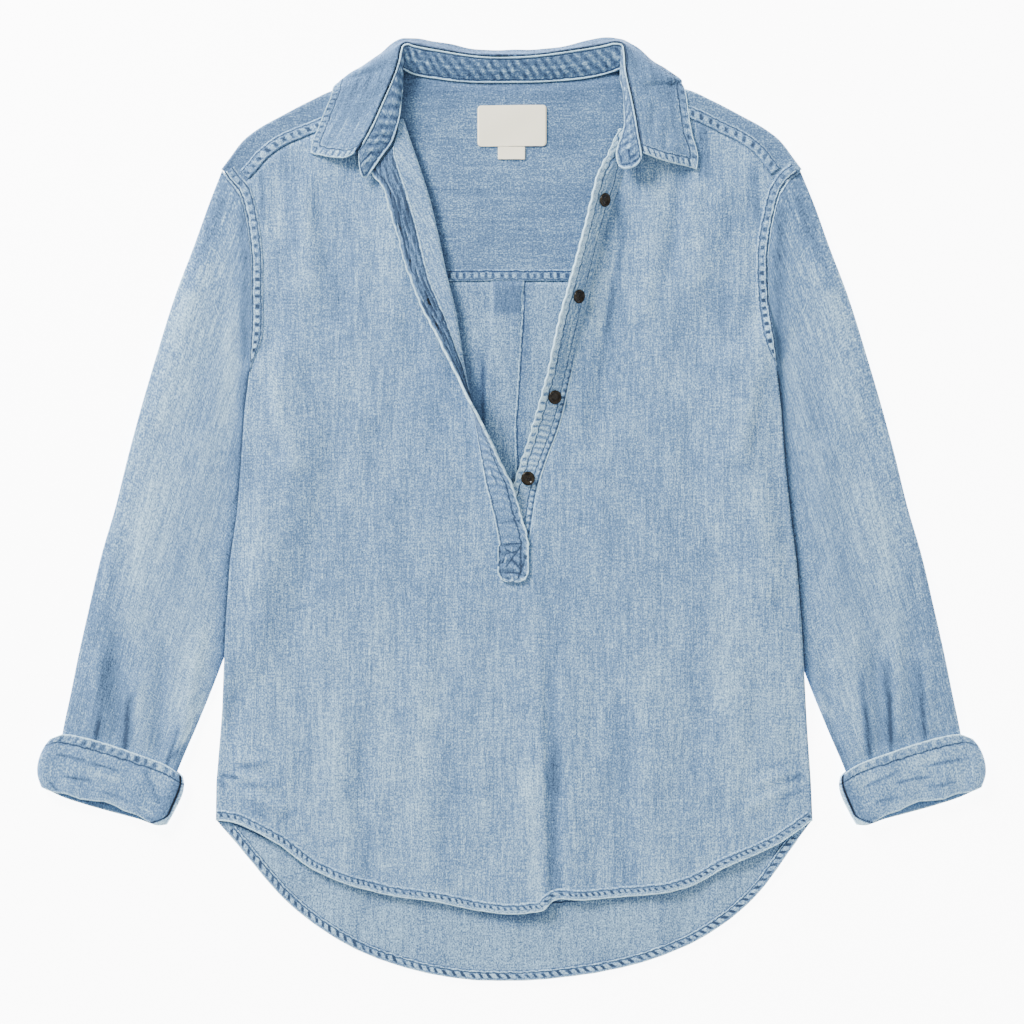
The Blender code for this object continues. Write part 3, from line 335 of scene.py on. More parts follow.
def patch(low, high, start, end, across, up):
    """A plan [row][column] between four sampled edges: low and high run with the shares across,
    start and end with the shares up."""
    low, high = low[None, :, :], high[None, :, :]
    start, end = start[:, None, :], end[:, None, :]
    u = np.asarray(across, float)[None, :, None]
    v = np.asarray(up, float)[:, None, None]
    below = (1 - u) * low[:, :1] + u * low[:, -1:]
    above = (1 - u) * high[:, :1] + u * high[:, -1:]
    return (1 - v) * (low - below) + v * (high - above) + (1 - u) * start + u * end


def even(count):
    return np.linspace(0.0, 1.0, count + 1)


def knotted(rows, step):
    """Shares along the rows: every row, and enough between them for steps no longer than this."""
    rows = np.asarray(rows, float)
    spans = np.linalg.norm(np.diff(rows[:, :2], axis=0), axis=1)
    knots = np.concatenate([[0.0], np.cumsum(spans)])
    shares = [0.0]
    for low, span in zip(knots, spans):
        parts = math.ceil(span / step)
        shares += [(low + span * (part + 1) / parts) / knots[-1] for part in range(parts)]
    return np.minimum(shares, 1.0)


def through(points, parts):
    """Points along a smooth curve through a few, with so many parts in each span."""
    points = np.asarray(points, float)
    run = arc_lengths(points)
    shares = [0.0]
    for low, high, count in zip(run, run[1:], parts):
        shares += [(low + (high - low) * (part + 1) / count) / run[-1] for part in range(count)]
    return spline(np.column_stack([run, np.zeros_like(run), points]), shares)[:, 2:]


def lifted(plan, height):
    """A sheet of 3-D points over a plan, with its height from a function of x and y."""
    return np.concatenate([plan, height(plan[..., 0], plan[..., 1])[..., None]], axis=-1)


def arc_lengths(grid, axis=0):
    """How far each point is along its path, or along its column (axis 0) or row (axis 1), in mm."""
    steps = np.linalg.norm(np.diff(grid, axis=axis), axis=-1)
    first = np.zeros_like(steps.take([0], axis=axis))
    return np.concatenate([first, np.cumsum(steps, axis=axis)], axis=axis)


def unit(vectors):
    return vectors / np.linalg.norm(vectors, axis=-1, keepdims=True)


def right_of(line):
    """Unit vectors to the right of a line's direction, in plan."""
    run = np.gradient(line, axis=0)
    return unit(np.stack([run[:, 1], -run[:, 0]], axis=1))


def bell(off, reach):
    """1 where off is 0, and down to 0.37 at the reach."""
    return np.exp(-((off / reach) ** 2))


def pair(first, second):
    """Two fields that may be of different shapes, as one field of two values."""
    return np.stack(np.broadcast_arrays(first, second), axis=-1)


def mirrored(rows, side):
    return np.array([(side * x, y) for x, y in rows])


# ---------------------------------------------------------------- pieces of cloth


class Sheet:
    """Points and four-sided cells from grids that may share points. Each point has its place in
    the weave (across and along the warp, in mm) and its marks: a tone, from -1 dark to 1 worn
    pale, dark and pale also as painted shade and highlight, and how near the sewn edge and the
    opposite edge are, in mm."""

    def __init__(self):
        self.points = []
        self.grain = []
        self.marks = []
        self.cells = []
        self.found = {}

    def add(self, grid, grain=None, tone=0.0, near=FAR, far=FAR):
        """Adds a grid [row][column]. Seen from outside, columns run right and rows run up."""
        grid = np.asarray(grid, float)
        shape = grid.shape[:2]
        grain = grid[..., :2] if grain is None else np.asarray(grain, float)
        marks = stacked_marks(shape, tone, near, far)
        keys = np.round(grid, 3)
        index = np.zeros(shape, int)
        for row in range(shape[0]):
            for column in range(shape[1]):
                key = tuple(keys[row, column])
                if key not in self.found:
                    self.found[key] = len(self.points)
                    self.points.append(grid[row, column])
                    self.grain.append(grain[row, column])
                    self.marks.append(marks[row, column])
                index[row, column] = self.found[key]
        low, high = index[:-1], index[1:]
        cells = np.stack([low[:, :-1], low[:, 1:], high[:, 1:], high[:, :-1]], axis=-1)
        self.cells.extend(map(tuple, cells.reshape(-1, 4)))
        return self


def stacked_marks(shape, tone, near, far):
    return np.stack([np.broadcast_to(mark, shape) for mark in (tone, near, far)], axis=-1)


def normals_of(points, cells):
    """A unit normal at each point, from the cells around it."""
    cells = np.asarray(cells)
    corners = points[cells]
    face = np.cross(corners[:, 2] - corners[:, 0], corners[:, 3] - corners[:, 1])
    normals = np.zeros_like(points)
    for corner in range(4):
        np.add.at(normals, cells[:, corner], face)
    return normals / np.maximum(np.linalg.norm(normals, axis=1)[:, None], TINY)


def make_object(name, points, faces, material, grain=None, marks=None):
    """A smooth mesh object from millimetre points, in the shirt's centred frame."""
    places = (np.asarray(points) - (CENTRE_X, CENTRE_Y, 0.0)) * MM
    mesh = bpy.data.meshes.new(name)
    mesh.from_pydata(places.tolist(), [], faces)
    mesh.shade_smooth()
    if grain is not None:
        corner = np.empty(len(mesh.loops), int)
        mesh.loops.foreach_get("vertex_index", corner)
        layer = mesh.uv_layers.new(name="grain")
        layer.data.foreach_set("uv", (np.asarray(grain)[corner] * MM * 10).ravel())
        for number, mark in enumerate(("tone", "near", "far")):
            layer = mesh.attributes.new(mark, "FLOAT", "POINT")
            layer.data.foreach_set("value", np.ascontiguousarray(np.asarray(marks)[:, number], float))
    mesh.materials.append(material)
    piece = bpy.data.objects.new(name, mesh)
    bpy.context.scene.collection.objects.link(piece)
    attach(piece, "root")
    return piece


def wall(name, sheet, thickness, material):
    """A closed wall around a sheet, half of its thickness to each side."""
    points = np.array(sheet.points)
    normals = normals_of(points, sheet.cells)
    count = len(points)
    both = np.vstack([points + normals * thickness / 2, points - normals * thickness / 2])
    cells = np.array(sheet.cells)
    edges = np.concatenate([cells[:, [i, (i + 1) % 4]] for i in range(4)])
    known = set(map(tuple, edges))
    rim = [(b, a, count + a, count + b) for a, b in edges.tolist() if (b, a) not in known]
    faces = cells.tolist() + (count + cells[:, ::-1]).tolist() + rim
    return make_object(name, both, faces, material, np.tile(sheet.grain, (2, 1)),
                       np.tile(sheet.marks, (2, 1)))


def tube(name, side, rings, material, grain, marks, painted_inner_shade=0.0):
    """A closed wall between outer and inner rings, open at both ends. Those of the left side run
    the other way round, and are turned."""
    outer, inner = rings
    shape = outer.shape[:2]
    marks = stacked_marks(shape, *marks)
    if side < 0:
        outer, inner, grain, marks = (part[:, ::-1] for part in (outer, inner, grain, marks))
    points = np.vstack([outer.reshape(-1, 3), inner.reshape(-1, 3)])
    count = shape[0] * shape[1]
    index = np.arange(count).reshape(shape)
    after = np.roll(index, -1, axis=1)
    quads = np.stack([index[:-1], after[:-1], after[1:], index[1:]], axis=-1).reshape(-1, 4)
    first = np.stack([after[0], index[0], count + index[0], count + after[0]], axis=-1)
    last = np.stack([index[-1], after[-1], count + after[-1], count + index[-1]], axis=-1)
    faces = np.concatenate([quads, count + quads[:, ::-1], first, last]).tolist()
    grain = np.tile(grain.reshape(-1, 2), (2, 1))
    marks = np.tile(marks.reshape(-1, 3), (2, 1))
    # The inner face takes painted shade, as inside the cuffs.
    marks[count:, 0] += painted_inner_shade
    return make_object(name, points, faces, material, grain, marks)


def waver(u, seed):
    """Unevenness along a seam, from -1 to 1."""
    slow, quick, small = np.sin(u / 19.0 + seed), np.sin(u / 7.7 + 2 * seed), np.sin(u / 3.3 + 5 * seed)
    return (slow + 0.8 * quick + 0.5 * small) / 2.3


def seam_wear(u, s, width, period, slant, depth, seed, strength, start=0.7):
    """Tone and relief of a sewn edge: u along it and s in from its edge, in mm. The cloth puckers
    between the stitches: from start on, its low places stay dark and its high places wear pale."""
    wave = np.cos(2 * math.pi * (u + slant * s + 2.2 * waver(u, seed)) / period)
    uneven = 0.8 + 0.3 * waver(u + 40.0, 3 * seed)
    reach = width * (0.86 + 0.1 * waver(1.7 * u, seed + 1.0))
    inside = smooth((s - start) / (0.16 * width)) * smooth((reach - s) / (0.16 * width))
    dip = smooth((-wave - 0.05) / 0.55)
    tone = strength * uneven * inside * (0.28 * (1 - dip) - 0.85 * dip)
    return tone, depth * inside * (1 - dip) * uneven


def strip(name, line, inward, width, height, material, period, seed, strength, start, slant=0.0, taper=0.0):
    """A turned and sewn edge laid on a surface: along a line, and so wide on its inward side (1 is
    left of the line's direction, -1 right). It narrows to nothing over the taper at its start. The
    strength of its wear is given for both of its ends."""
    rows = np.asarray(line, float)
    length = np.linalg.norm(np.diff(rows, axis=0), axis=1).sum()
    path = spline(rows, even(int(length)))
    side = -inward * right_of(path)
    u = arc_lengths(path)[:, None]
    narrow = smooth((u + 2.0) / (taper + 2.0)) if taper else np.ones_like(u)
    s = np.linspace(-0.25, width + 1.6, int(width / 0.7) + 4)[None]
    plan = path[:, None] + side[:, None] * (s * narrow)[..., None]
    plan = plan + side[:, None] * (0.25 * waver(u, seed))[..., None]
    wear = strength[0] + (strength[1] - strength[0]) * u / u[-1]
    tone, relief = seam_wear(u, s, width, period, slant, STRIP_DEPTH, seed, wear, start)
    lift = 0.3 * smooth((s + 0.4) / 1.4) * smooth((width + 1.4 - s) / 1.6)
    lift = lift - 0.35 * smooth(s - width - 0.4)
    grid = lifted(plan, height)
    grid[..., 2] += STRIP_WALL / 2 + (lift + relief) * narrow
    across, along = np.broadcast_to(s, tone.shape), np.broadcast_to(u, tone.shape)
    parts = (grid, pair(across, along), tone, across, width - across)
    if inward > 0:
        parts = (part[:, ::-1] for part in parts)
    return wall(name, Sheet().add(*parts), STRIP_WALL, material)


def cord(name, path, radius, material, tone, seed):
    """A thin rolled edge or piping along a path of 3-D points, tapered at both ends."""
    run = unit(np.gradient(path, axis=0))
    out = unit(np.cross(run, (0.0, 0.0, 1.0)))
    up = np.cross(out, run)
    u = arc_lengths(path)
    ends = np.sqrt(np.clip(np.minimum(u, u[-1] - u) / (2.5 * radius), 0.02, 1.0))
    size = radius * ends * (1 + 0.18 * waver(1.3 * u, seed))
    angles = np.linspace(0, 2 * math.pi, CORD_SIDES, endpoint=False)
    ring = np.cos(angles)[None, :, None] * out[:, None] + np.sin(angles)[None, :, None] * up[:, None]
    points = (path[:, None] + ring * size[:, None, None]).reshape(-1, 3)
    shape = (len(path), CORD_SIDES)
    index = np.arange(len(points)).reshape(shape)
    after = np.roll(index, -1, axis=1)
    faces = np.stack([index[:-1], index[1:], after[1:], after[:-1]], axis=-1).reshape(-1, 4).tolist()
    faces += [tuple(index[0].tolist()), tuple(index[-1, ::-1].tolist())]
    grain = pair(angles * radius, u[:, None]).reshape(-1, 2)
    tones = (tone + 0.3 * waver(0.8 * u, seed + 2.0))[:, None]
    marks = stacked_marks(shape, tones, FAR, FAR).reshape(-1, 3)
    return make_object(name, points, faces, material, grain, marks)


# ---------------------------------------------------------------- materials

# The noises of the denim: cells per 100 mm across and along the warp, detail, distortion and
# roughness, then where its values are cut off, how far they reach, and which strength they take.
WEAVE = (
    ((88.0, 70.0), 2.0, 0.2, 0.6, 0.3, 0.46, "speckle"),
    ((46.0, 34.0), 2.0, 0.8, 0.5, 0.32, 0.16, "speckle"),
    ((70.0, 6.5), 3.0, 0.5, 0.62, 0.3, 0.23, "slub"),
    ((30.0, 1.5), 2.0, 0.6, 0.5, 0.3, 0.13, "slub"),
    ((6.0, 55.0), 2.0, 0.6, 0.5, 0.32, 0.1, "slub"),
    ((3.6, 2.2), 4.0, 0.6, 0.6, 0.3, 0.09, "mottle"),
)
# Lines fainter than this leave no groove.
FAINT = 0.3
# Black for painted shade in slits and gaps, and for dark seam lines and thread.
NEARLY_BLACK = (0.004, 0.006, 0.010)


def set_inputs(node, values):
    for name, value in values.items():
        node.inputs[name].default_value = value


class Denim:
    """Washed denim: a fine weave, slubs along the warp and patches where the wash took unevenly.
    The tone of each point draws it to the dark or the worn colour, which also serve as painted
    shade and painted highlight, and below -1.7 to black, and so do lines, such as rows of
    stitches: the mark they follow, their place, half width and tone."""

    def __init__(self, name, colours, lines, slub, speckle, mottle):
        colour, dark, worn = colours
        strength = {"slub": slub, "speckle": speckle, "mottle": mottle}
        self.material = bpy.data.materials.new(name)
        self.material.use_nodes = True
        self.nodes = self.material.node_tree.nodes
        self.links = self.material.node_tree.links
        shader = self.nodes["Principled BSDF"]
        set_inputs(shader, {"Roughness": 0.92, "Specular IOR Level": 0.15, "Sheen Weight": 0.05,
                            "Sheen Roughness": 0.5})
        self.grain = self.nodes.new("ShaderNodeUVMap")
        self.grain.uv_map = "grain"

        noises = [self.noise(*row[:4]) for row in WEAVE]
        tone = self.mark("tone")
        for noise, (*_, edge, reach, kind) in zip(noises, WEAVE):
            tone = self.add(tone, self.spread(noise, edge, reach * strength[kind]))
        grooves = None
        shaky = self.spread(self.noise((30.0, 22.0), 1.0, 0.0, 0.5), 0.3, 0.35)
        for mark, place, half_wide, amount in lines:
            line = self.line(self.add(self.mark(mark), shaky), place, half_wide)
            line = self.maths("MULTIPLY", line, amount)
            tone = self.add(tone, line)
            if abs(amount) > FAINT:
                grooves = line if grooves is None else self.add(grooves, line)
        pale = self.clamped(tone)
        deeper = self.maths("MULTIPLY", tone, -1.0)
        shade = self.mix(colour, dark, self.clamped(deeper))
        shade = self.mix(shade, worn, pale)
        # Below -1.7 the colour goes to black: painted shade in slits and gaps, and also dark seam lines and
        # thread.
        gap = self.maths("MULTIPLY", self.maths("SUBTRACT", deeper, 1.7), 1.2)
        shade = self.mix(shade, NEARLY_BLACK, self.clamped(gap))
        self.links.new(shade, shader.inputs["Base Color"])

        threads, _, slubs, *_ = noises
        height = self.add(self.maths("MULTIPLY", threads, 0.5), self.maths("MULTIPLY", slubs, 0.45))
        if grooves is not None:
            height = self.add(height, self.maths("MULTIPLY", grooves, 0.6))
        bump = self.nodes.new("ShaderNodeBump")
        set_inputs(bump, {"Strength": 0.6, "Distance": 0.0006})
        self.links.new(height, bump.inputs["Height"])
        self.links.new(bump.outputs["Normal"], shader.inputs["Normal"])

    def noise(self, scale, detail, distortion, rough):
        """Noise on the weave: scale is its cells per 100 mm across and along the warp."""
        mapping = self.nodes.new("ShaderNodeMapping")
        set_inputs(mapping, {"Scale": (*scale, 1.0)})
        self.links.new(self.grain.outputs["UV"], mapping.inputs["Vector"])
        texture = self.nodes.new("ShaderNodeTexNoise")
        texture.noise_dimensions = "2D"
        set_inputs(texture, {"Scale": 1.0, "Detail": detail, "Roughness": rough, "Distortion": distortion})
        self.links.new(mapping.outputs["Vector"], texture.inputs["Vector"])
        return texture.outputs["Fac"]

    def mark(self, name):
        value = self.nodes.new("ShaderNodeAttribute")
        value.attribute_name = name
        return value.outputs["Fac"]

    def maths(self, operation, a, b=0.0):
        node = self.nodes.new("ShaderNodeMath")
        node.operation = operation
        for place, value in zip(node.inputs, (a, b)):
            if isinstance(value, (int, float)):
                place.default_value = value
            else:
                self.links.new(value, place)
        return node.outputs[0]

    def add(self, a, b):
        return self.maths("ADD", a, b)

    def clamped(self, value):
        return self.maths("MAXIMUM", self.maths("MINIMUM", value, 1.0), 0.0)

    def map_range(self, value, limits, kind):
        node = self.nodes.new("ShaderNodeMapRange")
        node.interpolation_type = kind
        set_inputs(node, dict(zip(("From Min", "From Max", "To Min", "To Max"), limits)))
        self.links.new(value, node.inputs["Value"])
        return node.outputs["Result"]

    def spread(self, value, edge, reach):
        """A value between edge and 1 - edge, spread from -reach to reach."""
        return self.map_range(value, (edge, 1.0 - edge, -reach, reach), "LINEAR")

    def line(self, distance, place, half_wide):
        """1 at a place, falling softly to 0 within half_wide of it."""
        off = self.maths("ABSOLUTE", self.maths("SUBTRACT", distance, place))
        return self.map_range(off, (0.0, half_wide, 1.0, 0.0), "SMOOTHSTEP")

    def mix(self, a, b, share):
        node = self.nodes.new("ShaderNodeMix")
        node.data_type = "RGBA"
        for place, value in ((node.inputs[6], a), (node.inputs[7], b)):
            if isinstance(value, tuple):
                place.default_value = (*value, 1.0)
            else:
                self.links.new(value, place)
        self.links.new(share, node.inputs[0])
        return node.outputs[2]


def plain(name, colour, roughness, bump_scale=0.0, bump_depth=0.0, spot=None, glow=0.0, specular=0.5):
    """A plain material with a fine mottled bump, and a second colour in spots."""
    material = bpy.data.materials.new(name)
    material.use_nodes = True
    nodes, links = material.node_tree.nodes, material.node_tree.links
    shader = nodes["Principled BSDF"]
    set_inputs(shader, {"Base Color": (*colour, 1.0), "Roughness": roughness,
                        "Specular IOR Level": specular})
    if glow:
        set_inputs(shader, {"Emission Color": (1.0, 1.0, 1.0, 1.0), "Emission Strength": glow})
    if bump_scale:
        place = nodes.new("ShaderNodeTexCoord")
        texture = nodes.new("ShaderNodeTexNoise")
        set_inputs(texture, {"Scale": bump_scale, "Detail": 3.0})
        links.new(place.outputs["Object"], texture.inputs["Vector"])
        bump = nodes.new("ShaderNodeBump")
        set_inputs(bump, {"Strength": 0.6, "Distance": bump_depth})
        links.new(texture.outputs["Fac"], bump.inputs["Height"])
        links.new(bump.outputs["Normal"], shader.inputs["Normal"])
        if spot is not None:
            ramp = nodes.new("ShaderNodeValToRGB")
            for stop, place, shade in zip(ramp.color_ramp.elements, (0.4, 0.68), (colour, spot)):
                stop.position = place
                stop.color = (*shade, 1.0)
            links.new(texture.outputs["Fac"], ramp.inputs["Fac"])
            links.new(ramp.outputs["Color"], shader.inputs["Base Color"])
    return material


# ---------------------------------------------------------------- heights of the layers


def column_of(side):
    """The column of a table's row that holds the left or the right side's number."""
    return 1 if side < 0 else 2


def half_width(y, side):
    """Half width of the body at y, on side -1 (left) or 1 (right)."""
    rows = SIDE_SEAM + ARMHOLE[1:]
    return np.interp(y, [row[0] for row in rows], [row[column_of(side)] for row in rows])


def side_points(side, ys):
    """The body's outline on one side at the heights ys, as x and y."""
    ys = np.asarray(ys, float)
    return np.column_stack([side * half_width(ys, side), ys])


def back_height(x, y):
    """The middle of the back and yoke: flat, but over the sleeve's edge and the collar's leaf."""
    hidden = np.interp(y, [row[0] for row in HIDDEN_SLEEVE], [row[1] for row in HIDDEN_SLEEVE])
    over_sleeve = smooth((np.abs(x) - hidden + 48.0) / 42.0)
    over_collar = smooth((y - 300.0) / 46.0) * smooth((172.0 - np.abs(x)) / 20.0)
    return BACK_Z + BODY_OVER_SLEEVE * over_sleeve + BODY_OVER_COLLAR * over_collar


def pleat_height(x, y):
    """The box pleat's layers under the yoke, which fade out down the back."""
    down = np.clip((BACK_YOKE_Y - y) / (BACK_YOKE_Y - PLEAT_FOOT_Y), 0.0, 1.0)
    left = PLEAT_TOP[0] + (PLEAT_FOOT[0] - PLEAT_TOP[0]) * down
    right = PLEAT_TOP[1] + (PLEAT_FOOT[1] - PLEAT_TOP[1]) * down
    return PLEAT_RISE * (1 - down) * smooth((x - left) / 6.0) * smooth((right - x) / 4.0)


def fold(x, y, x0, y0, x1, y1, reach, height):
    """A soft ridge, or a trough, along a straight line, fading at its ends."""
    dx, dy = x1 - x0, y1 - y0
    length = math.hypot(dx, dy)
    share = ((x - x0) * dx + (y - y0) * dy) / length**2
    off = ((x - x0) * dy - (y - y0) * dx) / length
    return height * bell(off, reach) * smooth(share / 0.25) * smooth((1 - share) / 0.12)


def above_cuff(x, y):
    """How far a point lies up the sleeve from the cuff's edge, in mm."""
    return (y - CUFF_CORNER[1]) * UP_SLEEVE[1] - (np.abs(x) - CUFF_CORNER[0]) * UP_SLEEVE[0]


def sleeve_heights(x, y, side):
    """The bottom and the top of a sleeve: low under the body, and lifted inside the cuff."""
    outside = np.abs(x) - half_width(y, side)
    free = np.maximum(smooth((outside - 4.0) / 30.0), smooth((y - 135.0) / 25.0))
    high = SLEEVE_UNDER_BODY + (SLEEVE_TOP - SLEEVE_UNDER_BODY) * free
    in_cuff = smooth((38.0 - above_cuff(x, y)) / 22.0)
    low = (CUFF_WALL + SEAM_GAP) * in_cuff
    return low, high + (CUFF_TOP - CUFF_WALL - SEAM_GAP - high) * in_cuff


def yoke_seam(side):
    """The yoke's seam on the front, from the armhole to the neck."""
    seam = np.array([(side * row[0], row[column_of(side)]) for row in FRONT_YOKE_SEAM])
    seam[0] = side_points(side, [YOKE_SEAM_Y])[0]
    return seam


def shoulder_fold(side):
    """The yoke's fold at a shoulder, [row][column]: rows run from the front over to the back,
    columns from the tip to the neck."""
    line = spline([(side * x, y) for x, y in SHOULDER], even(SHOULDER_STEPS))
    out = side * right_of(line)
    low, high = back_height(*line.T), front_height(*line.T)
    radius = (high - low) / 2
    rows = []
    for turn in np.linspace(0.0, math.pi, FOLD_STEPS + 1):
        plan = line - out * (radius * (1 - math.sin(turn)))[:, None]
        rows.append(np.column_stack([plan, low + radius * (1 + math.cos(turn))]))
    return np.array(rows)


def left_rows(count):
    """LEFT_EDGE from bottom to top. The placket ends at row number count, two more are above it."""
    rows = np.array(LEFT_EDGE[::-1])
    steps = np.linalg.norm(np.diff(rows[:, :2], axis=0), axis=1)
    top = steps[:-2].sum() / steps.sum()
    return spline(rows, [*np.linspace(0.0, top, count + 1), (1 + top) / 2, 1.0])


def left_turn(rows, arc_steps, flat_steps):
    """The front's rolled left edge, [row][column]: columns run from the flat cloth, round the
    roll, to the placket's seam."""
    out = right_of(rows[:, :2])
    turn = np.radians(np.maximum(rows[:, 3], 1.0))
    radius = ROLL_LENGTH / turn
    start = rows[:, :2] - out * (radius * np.sin(np.minimum(turn, math.pi / 2)))[:, None]
    base = front_height(*start.T)
    columns = []
    for share in even(arc_steps):
        plan = start + out * (radius * np.sin(turn * share))[:, None]
        columns.append(np.column_stack([plan, base + radius * (1 - np.cos(turn * share))]))
    flat = np.maximum(rows[:, 2] - radius, 1.0)
    lead = np.column_stack([out * np.cos(turn)[:, None], np.sin(turn)]) * flat[:, None]
    end = columns[-1]
    return np.stack(columns + [end + lead * share for share in even(flat_steps)[1:]], axis=1)


def right_placket(rows):
    """The right placket's free edge and seam, for rows of RIGHT_EDGE."""
    seam = lifted(rows[:, 0:2], front_height)
    free = np.column_stack([rows[:, 2:4], seam[:, 2] + rows[:, 4]])
    seam[:, 2] += np.minimum(rows[:, 4], 0.0)
    return free, seam


def leaf_section(row, out, parts):
    """The leaf across one row of COLLAR, from beside its seam to its outer edge."""
    _, seam, outline, outer = np.array(row[:12]).reshape(4, 3)
    away = outline[:2] - seam[:2]
    length = np.linalg.norm(away)
    away = away / length
    start = seam + (*(1.7 * out), 0.8)
    if not row[12]:
        points = [start, start + 0.8 * (outline - start), outline, (outline + outer) / 2, outer]
        return through(points, parts)
    near = min(4.5, 0.35 * length)
    over = outline + (*(-near * away), 3.9)
    inward = outer[:2] - outline[:2]
    inward = inward / np.linalg.norm(inward)
    under = np.array([*(outline[:2] + 4.0 * inward), outer[2]])
    return through([start, over, outline, under, outer], parts)


# ---------------------------------------------------------------- creases

# Soft ridges and troughs: the ends of each, its half width and its height.
FRONT_CREASES = (
    # x, y, x, y, half width, height
    (-180, 292, -171, 178, 10, 1.53), (-165, 288, -158, 190, 6, -1.02), (-141, 268, -150, 152, 12, -1.19),
    (-112, 275, -95, 152, 12, 1.53), (-100, 210, -62, 60, 9, -0.85), (130, 308, 109, 152, 12, 1.7),
    (146, 300, 134, 190, 6, -1.02), (160, 296, 152, 178, 10, 1.19), (190, 280, 176, 150, 9, -0.85),
    (75, 240, 50, 110, 13, 1.36), (50, 118, 24, 60, 11, 1.19), (96, 200, 66, 60, 10, -1.02),
    (-154, -140, -141, -330, 14, 1.53), (-130, -160, -122, -330, 9, -1.02),
    (-78, -100, -69, -345, 16, 1.19), (-96, -30, -90, -200, 12, -0.85), (118, -90, 126, -335, 16, 1.36),
    (92, -120, 98, -335, 10, -1.19), (160, -20, 158, -240, 12, -0.85), (194, -30, 190, -260, 12, 1.19),
    (-224, 152, -180, 25, 12, 1.53), (-216, 120, -196, 40, 6, -1.19), (224, 152, 190, 33, 12, 1.53),
    (216, 120, 204, 40, 6, -1.19), (-205, 40, -222, -80, 12, 1.36), (205, 40, 226, -80, 12, 1.36),
    (-240, -212, -206, -216, 4, 1.19), (-236, -224, -200, -238, 4, 1.36),
    (-230, -240, -190, -258, 4.5, 1.19), (240, -222, 204, -236, 4, 1.02), (236, -238, 196, -256, 5, 1.02),
)
SLEEVE_CREASES = {
    -1: (
        (-258, 240, -300, 60, 13, 1.36), (-240, 190, -268, 60, 9, -1.02), (-300, 60, -322, -110, 12, 1.02),
        (-352, -110, -350, -200, 8, 1.7), (-336, -90, -334, -200, 6, -1.36),
        (-318, -130, -312, -215, 8, 1.53), (-296, -100, -300, -220, 6, -1.36),
        (-258, -80, -284, -215, 7, 1.53), (-236, 60, -262, -60, 10, -0.85),
    ),
    1: (
        (258, 240, 298, 60, 13, 1.19), (242, 180, 266, 50, 9, -1.02), (296, 40, 326, -110, 12, 1.02),
        (326, -90, 332, -200, 7, 1.7), (308, -110, 316, -210, 6, -1.36), (350, -110, 356, -195, 7, 1.36),
        (288, -80, 300, -220, 8, 1.36), (258, -90, 280, -220, 6, -1.19), (238, 50, 262, -60, 10, -0.85),
    ),
}
# Painted shade where the cloth is darker, and painted highlight where it is paler, along a crease: the
# ends, half width and tone.
FRONT_SHADES = (
    # x, y, x, y, half width, tone
    (33.4, -70, 35.8, -250, 6, -0.2), (35.6, -180, 37.6, -352, 5.5, -0.6),
    (17, -200, 20.2, -345, 7.5, 0.26), (203.6, 302, 211.2, 235, 4, -0.4),
    (-213.7, 296, -211, 240, 2.6, -0.4), (-188.5, 305, -182.5, 215, 7, -0.28),
    (-200, 290, -196, 225, 4, 0.2), (161.1, 332, 165.5, 280, 4.5, -0.4), (86.7, 292, 96, 222, 2.6, -0.32),
    (96.4, 240, 78, 140, 2.6, -0.42), (90.4, 238, 73, 140, 2.6, 0.2),
    (-249.8, -226.4, -230.7, -228.9, 1.2, -0.8), (-250.2, -230.4, -241.6, -237.2, 1.2, -0.8),
    (-240.8, -221, -203.7, -214.4, 1.9, -0.4), (-233.9, -234.6, -188.9, -233.4, 2.3, -0.32),
    (-220.9, -255.6, -207.2, -263.8, 1.6, -0.4), (-203.5, -270.8, -181.2, -254, 1.6, -0.32),
    (-162, -288, -138, -280, 2, -0.3), (252, -226, 232, -231, 1.4, -0.7),
    (250, -238, 228, -246, 1.6, -0.5), (240, -214, 206, -222, 2.2, -0.3), (-60, -150, -52, -320, 9, -0.16),
    (-112, -40, -104, -250, 10, 0.14), (120, -140, 128, -320, 9, -0.16), (170, 40, 176, -180, 10, 0.12),
)
# Painted shade and painted highlight along the sleeves' creases, as FRONT_SHADES.
SLEEVE_SHADES = {
    -1: (
        (-342, -110, -353.4, -200, 5.5, -0.5), (-323, -150, -328.6, -208, 3, -0.55),
        (-281, -180, -294.6, -222, 1.7, -0.8), (-277, -198, -290.4, -213, 1.6, -0.5),
        (-349, -174, -354.8, -202, 1.7, -0.9), (-326, -158, -329.2, -210, 1.6, -0.7),
        (-268, -176, -284, -208, 1.8, 0.4), (-262.8, -172, -288, -228, 2.8, -0.5),
        (-239.6, 282, -277, 180, 5, -0.42), (-230.6, 270, -225.4, 205, 4.2, -0.4),
        (-226, 225, -227.8, 120, 4.6, -0.42), (-238, 200, -240, 60, 7, 0.16),
        (-262, 60, -290, -80, 10, -0.16), (-310, 20, -326, -120, 9, 0.16),
    ),
    1: (
        (318, -120, 322, -204, 4, -0.55), (296, -130, 304, -214, 3, -0.5), (345, -120, 350, -196, 4, -0.4),
        (262.8, -170, 287, -226, 2.8, -0.5), (321, -150, 323, -212, 1.7, -0.8),
        (300, -160, 306, -218, 1.7, -0.7), (348, -150, 352, -204, 1.7, -0.6),
        (238, 282, 274, 180, 5, -0.4), (230.6, 270, 226.4, 205, 4.2, -0.4),
        (226, 225, 229.8, 120, 4.6, -0.42), (262, 60, 290, -80, 10, -0.14), (310, 20, 326, -120, 9, 0.14),
    ),
}
# Painted shade along the left fold of the back's pleat, as FRONT_SHADES.
BACK_SHADES = ((-24.6, 136.0, -24.0, 58.0, 1.8, -0.9), (-30.0, 150.0, -26.0, 50.0, 7.0, -0.2))
# The line of the back pleat's right fold and of the hollow beside it: x and y.
PLEAT_LINE = ((5.5, 30.0), (5.5, 40.0), (4.7, 71.4), (7.2, 109.7), (10.6, 160.7), (11.6, 196.0))
